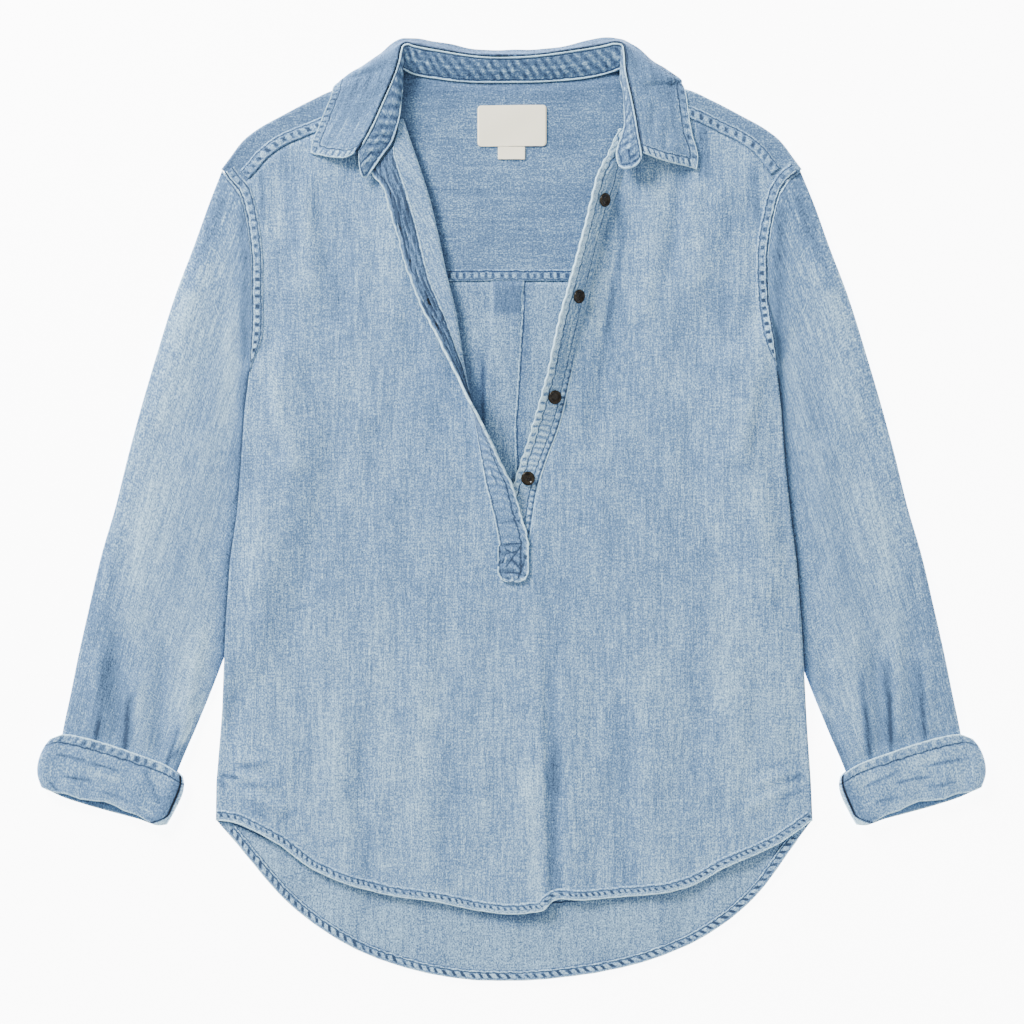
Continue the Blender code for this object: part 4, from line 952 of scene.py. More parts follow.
# Slow waves in laid cloth: length, the way the wave runs in degrees, height.
RIPPLES = (
    (63.0, 8.0, 0.34), (44.0, -14.0, 0.26), (31.0, 21.0, 0.16), (39.0, 74.0, 0.10), (19.0, -9.0, 0.09),
    (13.0, 16.0, 0.05),
)


def ripple(x, y, seed=0.0, share=1.0):
    total = np.zeros_like(x)
    for number, (length, angle, height) in enumerate(RIPPLES):
        a = math.radians(angle)
        bend = 0.9 * np.sin(y / 47.0 + seed + number) + 0.7 * np.sin(x / 71.0 + 2 * seed)
        wave = np.sin(2 * math.pi * (x * math.cos(a) + y * math.sin(a)) / length + bend + 2.4 * number)
        total = total + height * wave
    return total * share


def front_ledge(x, y):
    """The long fold down the middle of the front: its left part lies over its right part."""
    off = x - (24.2 + (-68.9 - y) * 0.0288)
    rise = smooth((off + 26.0) / 26.0) - smooth((off + 1.5) / 3.6)
    hollow = 0.9 * smooth((-60.0 - y) / 150.0) * bell(off - 9.0, 6.0)
    return 2.3 * smooth((-40.0 - y) / 230.0) * rise - hollow


def shaded(x, y, creases, shades):
    """The tone of creased cloth: ridges paler and troughs darker, partly the wash's wear and partly painted
    highlight and shade; then the painted shades along its creases.
    """
    tone = np.zeros_like(x)
    for row in creases:
        tone = tone + 0.11 * fold(x, y, *row)
    for row in shades:
        tone = tone + fold(x, y, *row)
    return tone


def front_height(x, y):
    """The middle of the front, with its creases."""
    depth = np.where(x < 0, half_width(y, -1) + x, half_width(y, 1) - x)
    inside = smooth(depth / 35.0)
    by_sleeve = smooth((y - 122.0) / 38.0)
    below = back_height(x, y) + PANEL_STEP
    height = below + PANEL_GAP * np.maximum(inside, by_sleeve) + NECK_RISE * smooth((y - 280.0) / 60.0)
    for row in FRONT_FOLDS[1:]:
        height = height + 1.3 * inside * fold(x, y, *row)
    near = smooth((depth + 2.0) / 14.0)
    for row in FRONT_CREASES:
        height = height + near * fold(x, y, *row)
    height = height + 0.85 * near * ripple(x, y, 0.7) + front_ledge(x, y)
    return np.maximum(height, below)


def front_top(x, y):
    return front_height(x, y) + CLOTH / 2


def back_top(x, y):
    return tail_height(x, y) + CLOTH / 2


def inner_top(x, y):
    return back_height(x, y) + CLOTH / 2


def tail_height(x, y):
    """The middle of the back, a little uneven where it shows below the front."""
    shows = smooth((-300.0 - y) / 30.0 + (np.abs(x) / 200.0) ** 2 * 0.8)
    waves = np.maximum(0.7 + ripple(x, y, 2.2, 1.4), 0.0)
    return back_height(x, y) + pleat_height(x, y) + 0.8 * waves * shows


# ---------------------------------------------------------------- the body


def build_back(material):
    by_pleat = np.linspace(0.43, 0.54, 38)[1:-1] + 1e-4
    across = np.sort(np.concatenate([even(BACK_STEPS), by_pleat]))
    ys = np.linspace(HEM_Y, BACK_YOKE_Y, BACK_STEPS + 1)
    left, right = side_points(-1, ys), side_points(1, ys)
    top = spline([left[-1], right[-1]], across)
    plan = patch(spline(BACK_HEM, across), top, left, right, across, even(BACK_STEPS))
    x, y = plan[..., 0], plan[..., 1]
    line = np.array(PLEAT_LINE)
    beside = np.where(y > 25.0, x - np.interp(y, line[:, 1], line[:, 0]), FAR)
    shade, below = painted_edge_shadow(x, y)
    square = smooth((x + 16.0) / 2.0) * smooth((9.0 - x) / 2.0) * smooth((y - 164.0) / 3.0)
    tone = 0.27 * smooth((-200.0 - y) / 60.0)
    # Painted shadow just right of the pleat's right fold, and a paler band further right.
    tone = tone - 0.2 * bell(beside - 3.0, 3.0) + 0.12 * smooth((beside - 6.0) / 4.0) * (beside < 60.0)
    for row in BACK_SHADES:
        tone = tone + fold(x, y, *row)
    # Painted shadow under the front's hem and beside its folded-back edge.
    tone = tone - 0.5 * shade + 0.12 * (y > -60.0) - 0.42 * square
    sheet = Sheet().add(lifted(plan, tail_height), tone=tone, near=beside, far=below)
    return wall("back_cloth", sheet, CLOTH, material)


def painted_edge_shadow(x, y):
    """Painted shadow, from 0 to 1, the stronger the more closely a point lies below the front's hem
    or beside its folded-back edge, and how far below the hem in mm."""
    hem = np.array(FRONT_HEM)
    below = np.interp(x, hem[:, 0], hem[:, 1]) - y
    strength = 0.45 + 0.55 * bell(x - 4.0, 34.0)
    shade = strength * bell(below, 4.0 + 5.0 * bell(x - 4.0, 30.0)) * (below > -8.0)
    edge = np.array(LEFT_EDGE)[::-1]
    beside = x - np.interp(y, edge[:, 1], edge[:, 0])
    return shade + 0.75 * bell(beside, 4.5) * (y > 40.0), below


def build_yoke(material):
    sheet = Sheet()
    folds = {side: shoulder_fold(side) for side in (-1, 1)}
    across, up = even(SHOULDER_STEPS), even(24)
    for side, rolled in folds.items():
        seam = yoke_seam(side) + (0.0, SEAM_GAP)
        edge = side_points(side, [YOKE_SEAM_Y + SEAM_GAP, 276.0, SHOULDER_Y])
        tip = spline(np.vstack([edge, rolled[0][:1, :2]]), up)
        neck = spline([seam[-1], rolled[0][-1, :2]], up)
        plan = patch(spline(seam, across), rolled[0][:, :2], tip, neck, across, up)
        grid = np.concatenate([lifted(plan, front_height)[:-1], rolled])
        grid = grid if side < 0 else grid[:, ::-1]
        sheet.add(grid, grid[..., [1, 0]], -0.2 if side < 0 else -0.04)
    neck = lifted(spline(NECKLINE, even(NECK_STEPS))[1:-1], back_height)
    top = np.concatenate([folds[-1][-1], neck, folds[1][-1][::-1]])
    across = (top[:, 0] - top[0, 0]) / (top[-1, 0] - top[0, 0])
    middle = np.linspace(BACK_YOKE_Y + SEAM_GAP, SHOULDER_Y, 48)
    start = np.vstack([side_points(-1, middle), top[:1, :2]])
    end = np.vstack([side_points(1, middle), top[-1:, :2]])
    up = (start[:, 1] - start[0, 1]) / (start[-1, 1] - start[0, 1])
    low = start[0] + across[:, None] * (end[0] - start[0])
    grid = lifted(patch(low, top[:, :2], start, end, across, up), back_height)
    grid[-1] = top
    x, y = grid[..., 0], grid[..., 1]
    # Darker towards the neck, and painted shadow beside the front's folded-back edge.
    tone = -0.06 - 0.25 * smooth((y - 335.0) / 25.0) - 0.5 * painted_edge_shadow(x, y)[0]
    sheet.add(grid[:, ::-1], grid[:, ::-1][..., [1, 0]], tone[:, ::-1])
    return wall("yoke_cloth", sheet, CLOTH, material)


def front_tone(grid):
    x, y = grid[..., 0], grid[..., 1]
    pale = 0.08 * smooth((-40.0 - y) / 120.0) + 0.08 * smooth((x - 170.0) / 60.0)
    return pale + shaded(x, y, FRONT_CREASES, FRONT_SHADES)


def build_front(material):
    sheet = Sheet()
    across, up = even(FRONT_ACROSS), even(UPPER_ROWS)
    upper = np.linspace(SLIT_END_Y, YOKE_SEAM_Y, UPPER_ROWS + 1)
    turn = left_turn(left_rows(LEFT_STEPS), 10, 8)
    sides = side_points(-1, upper)
    seam = yoke_seam(-1)
    seam[-1] = turn[-1, 0, :2]
    low = spline([sides[0], turn[0, 0, :2]], across)
    plan = patch(low, spline(seam, across), sides, turn[:, 0, :2], across, up)
    left = np.concatenate([lifted(plan, front_height)[:, :-1], turn], axis=1)
    beyond = arc_lengths(turn, 1)
    grain = left[..., :2].copy()
    grain[:, FRONT_ACROSS:, 0] = turn[:, :1, 0] + beyond
    grain[:, FRONT_ACROSS:, 1] = turn[:, :1, 1]
    tone = front_tone(left)
    rolled = smooth((turn[:, :1, 1] - 60.0) / 40.0)
    tone[:, FRONT_ACROSS:] = rolled * (0.55 * bell(beyond - 3.6, 1.6) + 0.04 * smooth(beyond - 5.0))
    sheet.add(left, grain, tone)
    edge = [(x + 2 * SEAM_GAP, y) for x, y, *_ in RIGHT_EDGE[::-1]]
    edge[0] = (edge[0][0], SLIT_END_Y)
    start = spline([*edge, NECK_CORNER], up)
    sides = side_points(1, upper)
    seam = yoke_seam(1)[::-1].copy()
    seam[0] = start[-1]
    low = spline([start[0], sides[0]], across)
    plan = patch(low, spline(seam, across), start, sides, across, up)
    right = lifted(plan, front_height)
    sheet.add(right, tone=front_tone(right))
    middle = np.linspace(left[0, -1], right[0, 0], 11)[1:-1]
    top = np.concatenate([left[0], middle, right[0]])
    across = (top[:, 0] - top[0, 0]) / (top[-1, 0] - top[0, 0])
    lower = np.linspace(HEM_Y, SLIT_END_Y, LOWER_ROWS + 1)
    sides = side_points(-1, lower), side_points(1, lower)
    plan = patch(spline(FRONT_HEM, across), top[:, :2], *sides, across, even(LOWER_ROWS))
    grid = lifted(plan, front_height)
    grid[-1] = top
    sheet.add(grid, tone=front_tone(grid))
    return wall("front_cloth", sheet, CLOTH, material)


def moved_out(grid, relief):
    """The grid's points moved along its normals."""
    along = np.gradient(grid, axis=0)
    across = np.gradient(grid, axis=1)
    normals = np.cross(across, along)
    normals /= np.maximum(np.linalg.norm(normals, axis=-1, keepdims=True), TINY)
    return grid + normals * relief[..., None]


def wrinkles(u, s, seed):
    """Small folds that run along a placket and wander across it, from -1 to 1."""
    wander = 1.1 * np.sin(u / 17.0 + seed) + 0.6 * np.sin(u / 6.7)
    first = np.sin(2 * math.pi * (s + wander) / 3.0 + 0.9 * np.sin(u / 23.0))
    second = np.sin(2 * math.pi * (s - 0.11 * u + 1.2 * np.sin(u / 11.0 + 2 * seed)) / 4.6)
    third = np.sin(2 * math.pi * (s + 0.07 * u + 0.8 * np.sin(u / 8.0 + 3 * seed)) / 2.1)
    strength = 0.75 + 0.25 * np.sin(u / 13.0 + 3 * seed)
    return strength * (0.45 * first + 0.45 * second + 0.25 * third)


def puckers(u, s, seed, period=5.2):
    """Small folds straight across a sewn band, from -1 to 1."""
    wave = np.sin(2 * math.pi * (u + 0.25 * s + 1.4 * waver(u, seed)) / period)
    return wave * (0.65 + 0.35 * np.sin(u / 15.0 + seed))


def buttonhole(grid, tone, relief, y, share, strength):
    """A worked slit along the placket at the height y: its slit is painted dark as shade, its rim paler."""
    s = arc_lengths(grid, 1)
    row = int(np.argmin(np.abs(grid[:, grid.shape[1] // 2, 1] - y)))
    u = arc_lengths(grid)
    along = (u - u[row:row + 1]) / (BUTTONHOLE / 2)
    off = s - share * s[:, -1:] + 0.5 * np.sin(2.5 * along)
    slit = bell(off, 0.75) * smooth((1.0 - np.abs(along)) / 0.15)
    rim = bell(off + 1.6, 0.7) * smooth((1.15 - np.abs(along)) / 0.2)
    return tone + strength * (0.6 * rim - 2.2 * slit), relief + strength * (0.3 * rim - 0.5 * slit)


# Buttonholes of the left placket: y, share of its width, strength. Only the second can be made
# out in the photo.
LEFT_BUTTONHOLES = ((255.0, 0.5, 0.25), (178.0, 0.5, 0.75), (97.0, 0.5, 0.3), (27.0, 0.42, 0.5))
# The stitches of the box at the placket's foot, as short lines: ends and tone.
BOX_STITCHES = (
    (-9.5, -30.4, 11, -28.8, -1.3), (-7.1, -54.4, 7.8, -54.6, -1.2), (-13.4, -12.7, 9.4, -9.1, -0.7),
    (-6.3, -32.7, -0.8, -37.1, -0.9), (-1.6, -37, 4.6, -36.2, -1), (3.4, -36.6, 7.8, -33, -0.9),
    (-2.6, -38.2, 7.4, -51.6, -1), (7.2, -34, 0.2, -42.4, -1.1), (1, -41.2, -4.9, -50.2, -0.9),
    (-4.2, -37, -8.5, -47.4, -1), (10.8, -36.8, 11, -47, -0.7), (11, -45.3, 7.6, -54.6, -1.1),
    (-11.4, -35.4, -8.8, -37, -1.2), (-10.4, -43.4, -11.8, -49.4, -1.6), (12.9, -39.2, 12, -43.4, -2.2),
    (10.8, -57.4, 13, -55.8, -2.6), (-4.6, -39.6, -5.6, -46, 0.9), (-9.6, -57.6, -5.4, -60.6, 0.9),
    (0.4, -57, 1, -61.4, 0.7), (3.6, -57.4, 5.4, -60.4, 0.7), (-2.6, -57, -3, -61, -0.6),
    (-9, -16, 9, -19.6, 0.35), (-12, 15, -6, 13.6, 0.5),
)


def build_placket_left(material):
    rows = left_rows(LEFT_PLACKET_ROWS)
    turn = left_turn(rows, 3, 2)[:LEFT_PLACKET_ROWS + 1]
    rows = rows[:LEFT_PLACKET_ROWS + 1]
    start = turn[:, -1] - unit(turn[:, -1] - turn[:, -2]) * 0.4
    start[:, 2] += ON_FRONT * smooth((20.0 - start[:, 1]) / 35.0)
    free = lifted(rows[:, 5:7], front_height)
    free[:, 2] += rows[:, 4]
    along = arc_lengths(free)
    wavy = 0.3 * np.sin(along / 1.7 + 1.5 * waver(along, 0.9))
    free = free + unit(free - start) * (0.95 * waver(1.1 * along, 0.6) + wavy + 0.35)[:, None]
    grid = start[:, None] + (free - start)[:, None] * even(PLACKET_STEPS)[None, :, None]
    rows = [(y, half) for half, y in BOX_END[::-1]]
    ys = np.linspace(rows[0][0], rows[-1][0] + 13.0, 44)[:-1]
    halves = np.interp(ys, [row[0] for row in rows], [row[1] for row in rows])
    plan = pair(BOX_MIDDLE_X + halves[:, None] * np.linspace(-1, 1, PLACKET_STEPS + 1), ys[:, None])
    box = lifted(plan, front_height)
    box[..., 2] += ON_FRONT
    grid = np.concatenate([box, grid])
    x, y = grid[..., 0], grid[..., 1]
    u, s = arc_lengths(grid), arc_lengths(grid, 1)
    far = s[:, -1:] - s
    foot = grid[:, :1, 1] + 62.0
    # Folded back above, the band shows its crumpled inside, and below its smoother face. The crumples take
    # painted shade in their troughs and painted highlight on their ridges, and the puckers below do so
    # faintly.
    inside = smooth((grid[:, -1:, 1] - 55.0) / 40.0)
    middle = smooth((s - 1.0) / 2.0) * smooth((far - 1.4) / 1.2)
    crumple = wrinkles(u, s, 0.4)
    cross = puckers(u, s, 1.1, 7.4) * smooth((far - 4.5) / 1.5) * smooth((s - 2.0) / 2.0)
    ticks, ticks_relief = seam_wear(u, far, 5.4, 7.4, 0.2, 0.3, 0.9, 0.55)
    outside = (0.3 * cross - 0.12) * middle + ticks
    tone = inside * middle * (1.25 * crumple - 0.42) + (1 - inside) * outside
    relief = inside * middle * 0.7 * crumple + (1 - inside) * (0.3 * cross + ticks_relief)
    tone = tone - 0.25 * smooth((-30.0 - y) / 3.0) * smooth((s - 2.0) / 1.5) * smooth((far - 3.0) / 1.5)
    for x0, y0, x1, y1, strength in BOX_STITCHES:
        stitch = fold(x, y, x0, y0, x1, y1, 0.75, strength)
        tone = tone + stitch
        relief = relief + 0.25 * np.clip(stitch, -1.5, 1.0)
    tone = tone + smooth((3.4 - foot) / 1.6) * (1 - 0.6 * np.abs(np.sin(x * 0.7 + 0.4)))
    for hole in LEFT_BUTTONHOLES:
        tone, relief = buttonhole(grid, tone, relief, *hole)
    # Towards its foot the stitches lie further in from the free edge.
    near = far * (1 - 0.33 * smooth((52.0 - y) / 60.0))
    sheet = Sheet().add(moved_out(grid, relief), pair(s, u), tone, near, s)
    return wall("placket_left_cloth", sheet, PLACKET_WALL, material)


def build_placket_right(material):
    free, seam = right_placket(spline(RIGHT_EDGE[::-1], even(RIGHT_PLACKET_ROWS)))
    toward = unit(seam - free)
    along = arc_lengths(free)
    shaky = 0.4 + 0.7 * smooth((free[:, 1] - 250.0) / 30.0)
    wavy = 0.4 * np.sin(along / 1.7 + 1.5 * waver(along, 0.3))
    free = free + toward * (shaky * waver(1.5 * along, 1.6) + wavy)[:, None]
    across = even(PLACKET_STEPS)[None, :, None]
    grid = free[:, None] + (seam + toward * 0.3 - free)[:, None] * across
    u, s = arc_lengths(grid), arc_lengths(grid, 1)
    far = s[:, -1:] - s
    # Below the neck opening its sewn edges show their wear, above it the cloth is crumpled. Its puckers and
    # crumples take painted shade in their troughs and painted highlight on their ridges.
    low = smooth((150.0 - grid[..., 1]) / 60.0)
    tone, relief = seam_wear(u, s, 6.2, 7.3, 0.2, 0.35, 2.1, 0.3 + 0.75 * low)
    right, right_relief = seam_wear(u, far, 6.4, 6.2, -0.3, 0.3, 3.8, 0.2 + 0.8 * low)
    inner = smooth((s - 6.8) / 1.2) * smooth((far - 6.8) / 1.2)
    cross = low * puckers(u, s, 2.2) + (1 - low) * 1.2 * wrinkles(u, s, 1.7)
    band = 0.3 * smooth((6.2 - s) / 0.8)
    tone = tone + right + inner * (0.42 * cross - 0.02 - 0.1 * (1 - low)) + band + 0.22
    tone = tone + low * (1.1 * bell(far - 0.4, 0.9) - 1.2 * bell(far - 2.0, 0.8))
    tone = tone - 0.2 * (1 - low) * smooth((far - 0.5) / 3.0) * smooth((5.5 - far) / 3.0)
    relief = relief + right_relief + inner * 0.3 * cross
    sheet = Sheet().add(moved_out(grid, relief), pair(s, u), tone, s, far)
    return wall("placket_right_cloth", sheet, PLACKET_WALL, material)


# ---------------------------------------------------------------- the collar

# Where the ends of the stand and of the leaf differ from the rows of COLLAR.
STAND_LEFT_END = (-122.0, 282.2, 10.2, -129.0, 303.1, 13.8)
STAND_RIGHT_END = (90.5, 291.0, 15.0, 109.8, 297.0, 18.4)
LEAF_LEFT_END = (-121.0, 285.8, 10.4, -130.6, 302.2, 13.8, -166.6, 302.8, 7.4, -170.4, 303.0, 7.2, 0)
# The right ends of its rows: outline x and y, outer x and y, from the shoulder to the tip.
LEAF_RIGHT_EDGE = (
    (143.4, 362.0, 144.9, 360.6), (144.4, 357.0, 146.9, 356.0), (147.4, 337.2, 150.3, 336.8),
    (150.5, 318.4, 153.4, 318.2), (155.4, 300.0, 158.4, 298.4), (154.6, 289.8, 157.4, 289.0),
)
# How far their ends bulge out, left and right: amounts across the end in mm, and their reach.
STAND_BULGES = (((2.4, 5.8, 6.6, 6.1, 5.0, 2.9, 0.3), 14.0), ((1.0, 4.6, 5.7, 6.0, 5.9, 4.4, 0.8), 15.0))
LEAF_BULGES = (
    ((1.8, 3.9, 5.5, 6.2, 6.0, 5.8, 5.2, 4.8, 4.4, 3.7, 2.7, 2.1, 1.6, 1.1, 0.6), 9.0),
    ((-1.2, -0.6, 0.2, 0.6, 0.8, 0.8, 0.6, 0.4, 0.6, 0.8, 0.6), 7.0),
)
# Darker places along the leaf's folds at the shoulders, as FRONT_SHADES.
LEAF_SHADES = ((-156.0, 326.0, -86.0, 399.0, 18.0, -0.26), (88.0, 403.0, 152.0, 354.0, 16.0, -0.34))


def end_bulged(grid, amounts, reach):
    """The grid [across][along] with its first columns pushed out past their end by amounts, which
    are read evenly across it. The push fades over a reach."""
    push = np.interp(even(len(grid) - 1), even(len(amounts) - 1), amounts)
    push = np.convolve(np.pad(push, 2, mode="edge"), (0.1, 0.2, 0.4, 0.2, 0.1), mode="valid")
    away = (grid[:, 0, :2] - grid[:, 6, :2]).mean(axis=0)
    away /= np.linalg.norm(away)
    grid = grid.copy()
    grid[..., :2] += (push[:, None] * (1 - smooth(arc_lengths(grid, 1) / reach)))[..., None] * away
    return grid


def both_bulged(grid, left, right):
    """A grid of the collar with both ends bulged: the amounts and the reach of each."""
    return end_bulged(end_bulged(grid, *left)[:, ::-1], *right)[:, ::-1]


def stand_rows():
    """The stand along its length: x, y, z of its seam with the leaf and of its foot."""
    rows = [np.concatenate([row[3:6], row[0:3]]) for row in np.array(COLLAR)]
    for place, end in ((0, STAND_LEFT_END), (-1, STAND_RIGHT_END)):
        rows[place] = np.array([*end[3:6], *end[0:3]])
    for row in rows[20:-1]:
        row[3] += 2.2 * float(smooth((row[4] - 300.0) / 30.0))
    return spline(rows, knotted(rows, 1.1))


def build_stand(material):
    rows = stand_rows()
    seam, foot = rows[:, 0:3], rows[:, 3:6]
    share = even(STAND_STEPS)[:, None, None]
    grid = foot[None] + (seam - foot)[None] * share
    grid[..., 2] += 0.9 * np.sin(math.pi * share[..., 0])
    grid = both_bulged(grid, *STAND_BULGES)
    s, first = arc_lengths(grid), arc_lengths(grid, 1)
    u = first.mean(axis=0)[None] + 0 * s
    width = s[-1:]
    last = first[:, -1:] - first
    near, far = np.minimum(s, np.minimum(first, last)), width - s
    inner = smooth((near - 2.0) / 2.0) * smooth((far - 1.5) / 2.0)
    cross = np.cos(2 * math.pi * (u + 0.8 * s + 2.0 * waver(u, 0.8)) / 9.0)
    other = np.cos(2 * math.pi * (u - 0.9 * s + 2.0 * waver(u, 2.8)) / 8.2)
    weave = 0.5 * cross + 0.25 * cross * other + 0.3 * puckers(u, s, 0.7, 6.4)
    ends = smooth((np.minimum(first, last) - 10.0) / 12.0)
    tone = inner * ((0.35 + 0.45 * ends) * weave - 0.1 - 0.2 * ends)
    # A seam runs along the middle of the stand, and paler threads show on it.
    tone = tone + 0.4 * inner * bell(s - 0.52 * width + 0.8 * waver(u, 4.0), 0.9)
    relief = inner * 0.5 * weave
    # At the left end is a buttonhole, its slit painted dark as shade, and at the right end the thread of a
    # lost button.
    along, off = first - 10.5, s - 0.5 * width + 0.04 * (first - 10.5)
    slit = bell(off, 0.7) * smooth(7.4 - np.abs(along))
    rim = bell(off + 1.5, 0.7) * smooth((7.4 - np.abs(along)) / 1.2)
    tone = tone - 2.2 * slit + 1.0 * rim
    relief = relief - 0.4 * slit + 0.3 * rim
    along, off = last - 11.5, s - 0.52 * width
    thread = bell(off, 0.8) * smooth(4.6 - np.abs(along))
    bar = bell(last - 8.6, 0.7) * smooth(off) * smooth(far - 2.5)
    tone = tone - 2.0 * thread - 0.9 * bar
    # The rolled edge around the right end is broader than the rest.
    near = near * (1 - 0.4 * smooth((16.0 - last) / 8.0))
    sheet = Sheet().add(moved_out(grid, relief), pair(s, u), tone, near, far)
    return wall("collar_stand_cloth", sheet, STAND_WALL, material)


def leaf_grid():
    """The leaf, [across][along]: from beside its seam with the stand to its outer edge."""
    table = [LEAF_LEFT_END, *COLLAR[1:]]
    for place, edge in zip(range(-len(LEAF_RIGHT_EDGE), 0), LEAF_RIGHT_EDGE):
        row = list(table[place])
        row[6:8], row[9:11] = edge[:2], edge[2:]
        table[place] = tuple(row)
    seams = np.array(table)[:, 3:5]
    sections = [leaf_section(row, -away, LEAF_PARTS).ravel() for row, away in zip(table, right_of(seams))]
    rows = np.concatenate([seams, sections], axis=1)
    rows = spline(rows, knotted(rows, 1.2))[:, 2:]
    grid = rows.reshape(len(rows), -1, 3).transpose(1, 0, 2)
    # Where the turned-under part starts, the change is spread along the collar.
    for _ in range(30):
        ends = np.pad(grid[..., 2], ((0, 0), (1, 1)), mode="edge")
        grid[..., 2] = 0.25 * ends[:, :-2] + 0.5 * ends[:, 1:-1] + 0.25 * ends[:, 2:]
    return both_bulged(grid, *LEAF_BULGES)


def build_leaf(material):
    grid = leaf_grid()
    x, y = grid[..., 0], grid[..., 1]
    s, u = arc_lengths(grid), arc_lengths(grid, 1)
    along = u.mean(axis=0)[None]
    # The visible edge is the outermost point of each column.
    reach = np.linalg.norm(grid[..., :2] - grid[:1, :, :2], axis=-1)
    outer = np.abs(np.take_along_axis(s, reach.argmax(axis=0)[None], 0) - s)
    end = np.minimum(u, u[:, -1:] - u)
    edge = np.minimum(outer, end)
    on_end = edge != outer
    pace = np.interp(u / u[:, -1:], (0.0, 0.4, 0.6, 1.0), (1.22, 1.22, 0.86, 0.86))
    run = np.where(on_end, 1.22 * s, along * pace)
    tone, relief = seam_wear(run, edge, 6.6, 6.3, 0.1, 0.3, 1.3, 0.95)
    ticks, ticks_relief = seam_wear(1.22 * s, end, 7.4, 6.3, 0.5, 0.45, 0.3, 1.25)
    tone = np.where(on_end, 1.25 * ticks + 0.2 * smooth((7.0 - edge) / 1.5), tone)
    relief = np.where(on_end, ticks_relief, relief)
    inner = smooth((edge - 7.0) / 6.0) * smooth((s - 5.0) / 6.0)
    streaks = 0.12 * inner * np.sin(s / 1.9 + 2.0 * np.sin(u / 21.0))
    streaks = streaks * (0.5 + 0.5 * np.sin(u / 6.0 + s / 9.0))
    tone = tone - 0.07 - 0.08 * smooth((edge - 7.0) / 2.0) + streaks
    # It is darker along the fold behind the neck and down to the shoulders.
    tone = tone - 0.4 * smooth((y - 382.0) / 6.0) * smooth((100.0 - np.abs(x)) / 12.0)
    for row in LEAF_SHADES:
        tone = tone + fold(x, y, *row)
    soft = 0.35 * np.sin(u / 9.0 + s / 14.0) * np.sin(s / 8.0) + 0.2 * np.sin(u / 4.3 - s / 11.0)
    relief = relief + inner * soft
    sheet = Sheet().add(moved_out(grid, relief), pair(s, along), tone, edge, s)
    return wall("collar_leaf_cloth", sheet, LEAF_WALL, material)


# ---------------------------------------------------------------- sleeves and cuffs

# Where a sleeve's seam with the body is sampled.
SLEEVE_TOP_YS = (288.2, 281.4, 269.0, 255.0, 238.0, 216.0, 183.0, 155.0, 132.0, 116.8)
# How dark a sleeve is all over, how much more at its lower end, and in the body's shadow.
SLEEVE_TONES = {-1: (0.03, 0.32, 0.5), 1: (0.09, 0.18, 0.35)}
# How worn a cuff's edge is, and how pale the cuff.
CUFF_TONES = {-1: (1.1, 0.02), 1: (0.5, 0.16)}


def ring_grid(above, below, plan_of, heights_of, thickness, inset):
    """Rings as the solid's, outer and inner, finer above than below, and their angles. The plan
    is plan_of(shares across, how far each is on the upper side), and heights_of(x, y) gives the
    bottom and the top."""
    upper = np.linspace(0.0, math.pi, above, endpoint=False)
    angles = np.concatenate([upper, np.linspace(math.pi, 2 * math.pi, below, endpoint=False)])
    swell = np.minimum(1.0, np.abs(np.sin(angles)) / 0.5) ** 0.6
    rings = []
    for wall_in, trim in ((0.0, 0.0), (thickness, inset)):
        across = trim + (1 - np.cos(angles)) / 2 * (1 - 2 * trim)
        plan = plan_of(across, (np.sin(angles) >= 0) * swell)
        low, high = heights_of(plan[..., 0], plan[..., 1])
        reach = (high - low) / 2 - wall_in
        z = (low + high) / 2 + np.where(np.sin(angles) >= 0, 1.0, -1.0) * reach * swell
        rings.append(np.concatenate([plan, z[..., None]], axis=-1))
    return rings, angles


def ring_plan(first_end, last_end, outer, inner, across, along):
    """A plan [ring][place] between the curves of a tube's two ends and two sides."""
    low, high = spline(first_end, across), spline(last_end, across)
    first, last = spline(outer, along), spline(inner, along)
    u, v = across[None, :, None], along[:, None, None]
    below = (1 - u) * first_end[0] + u * first_end[-1]
    above = (1 - u) * last_end[0] + u * last_end[-1]
    sides = (1 - u) * first[:, None] + u * last[:, None]
    return (1 - v) * (low[None] - below) + v * (high[None] - above) + sides


def tucked(y):
    """How far a sleeve's edge reaches in under the body at the lower armhole."""
    return 3.0 * smooth((141.0 - np.asarray(y)) / 10.0)


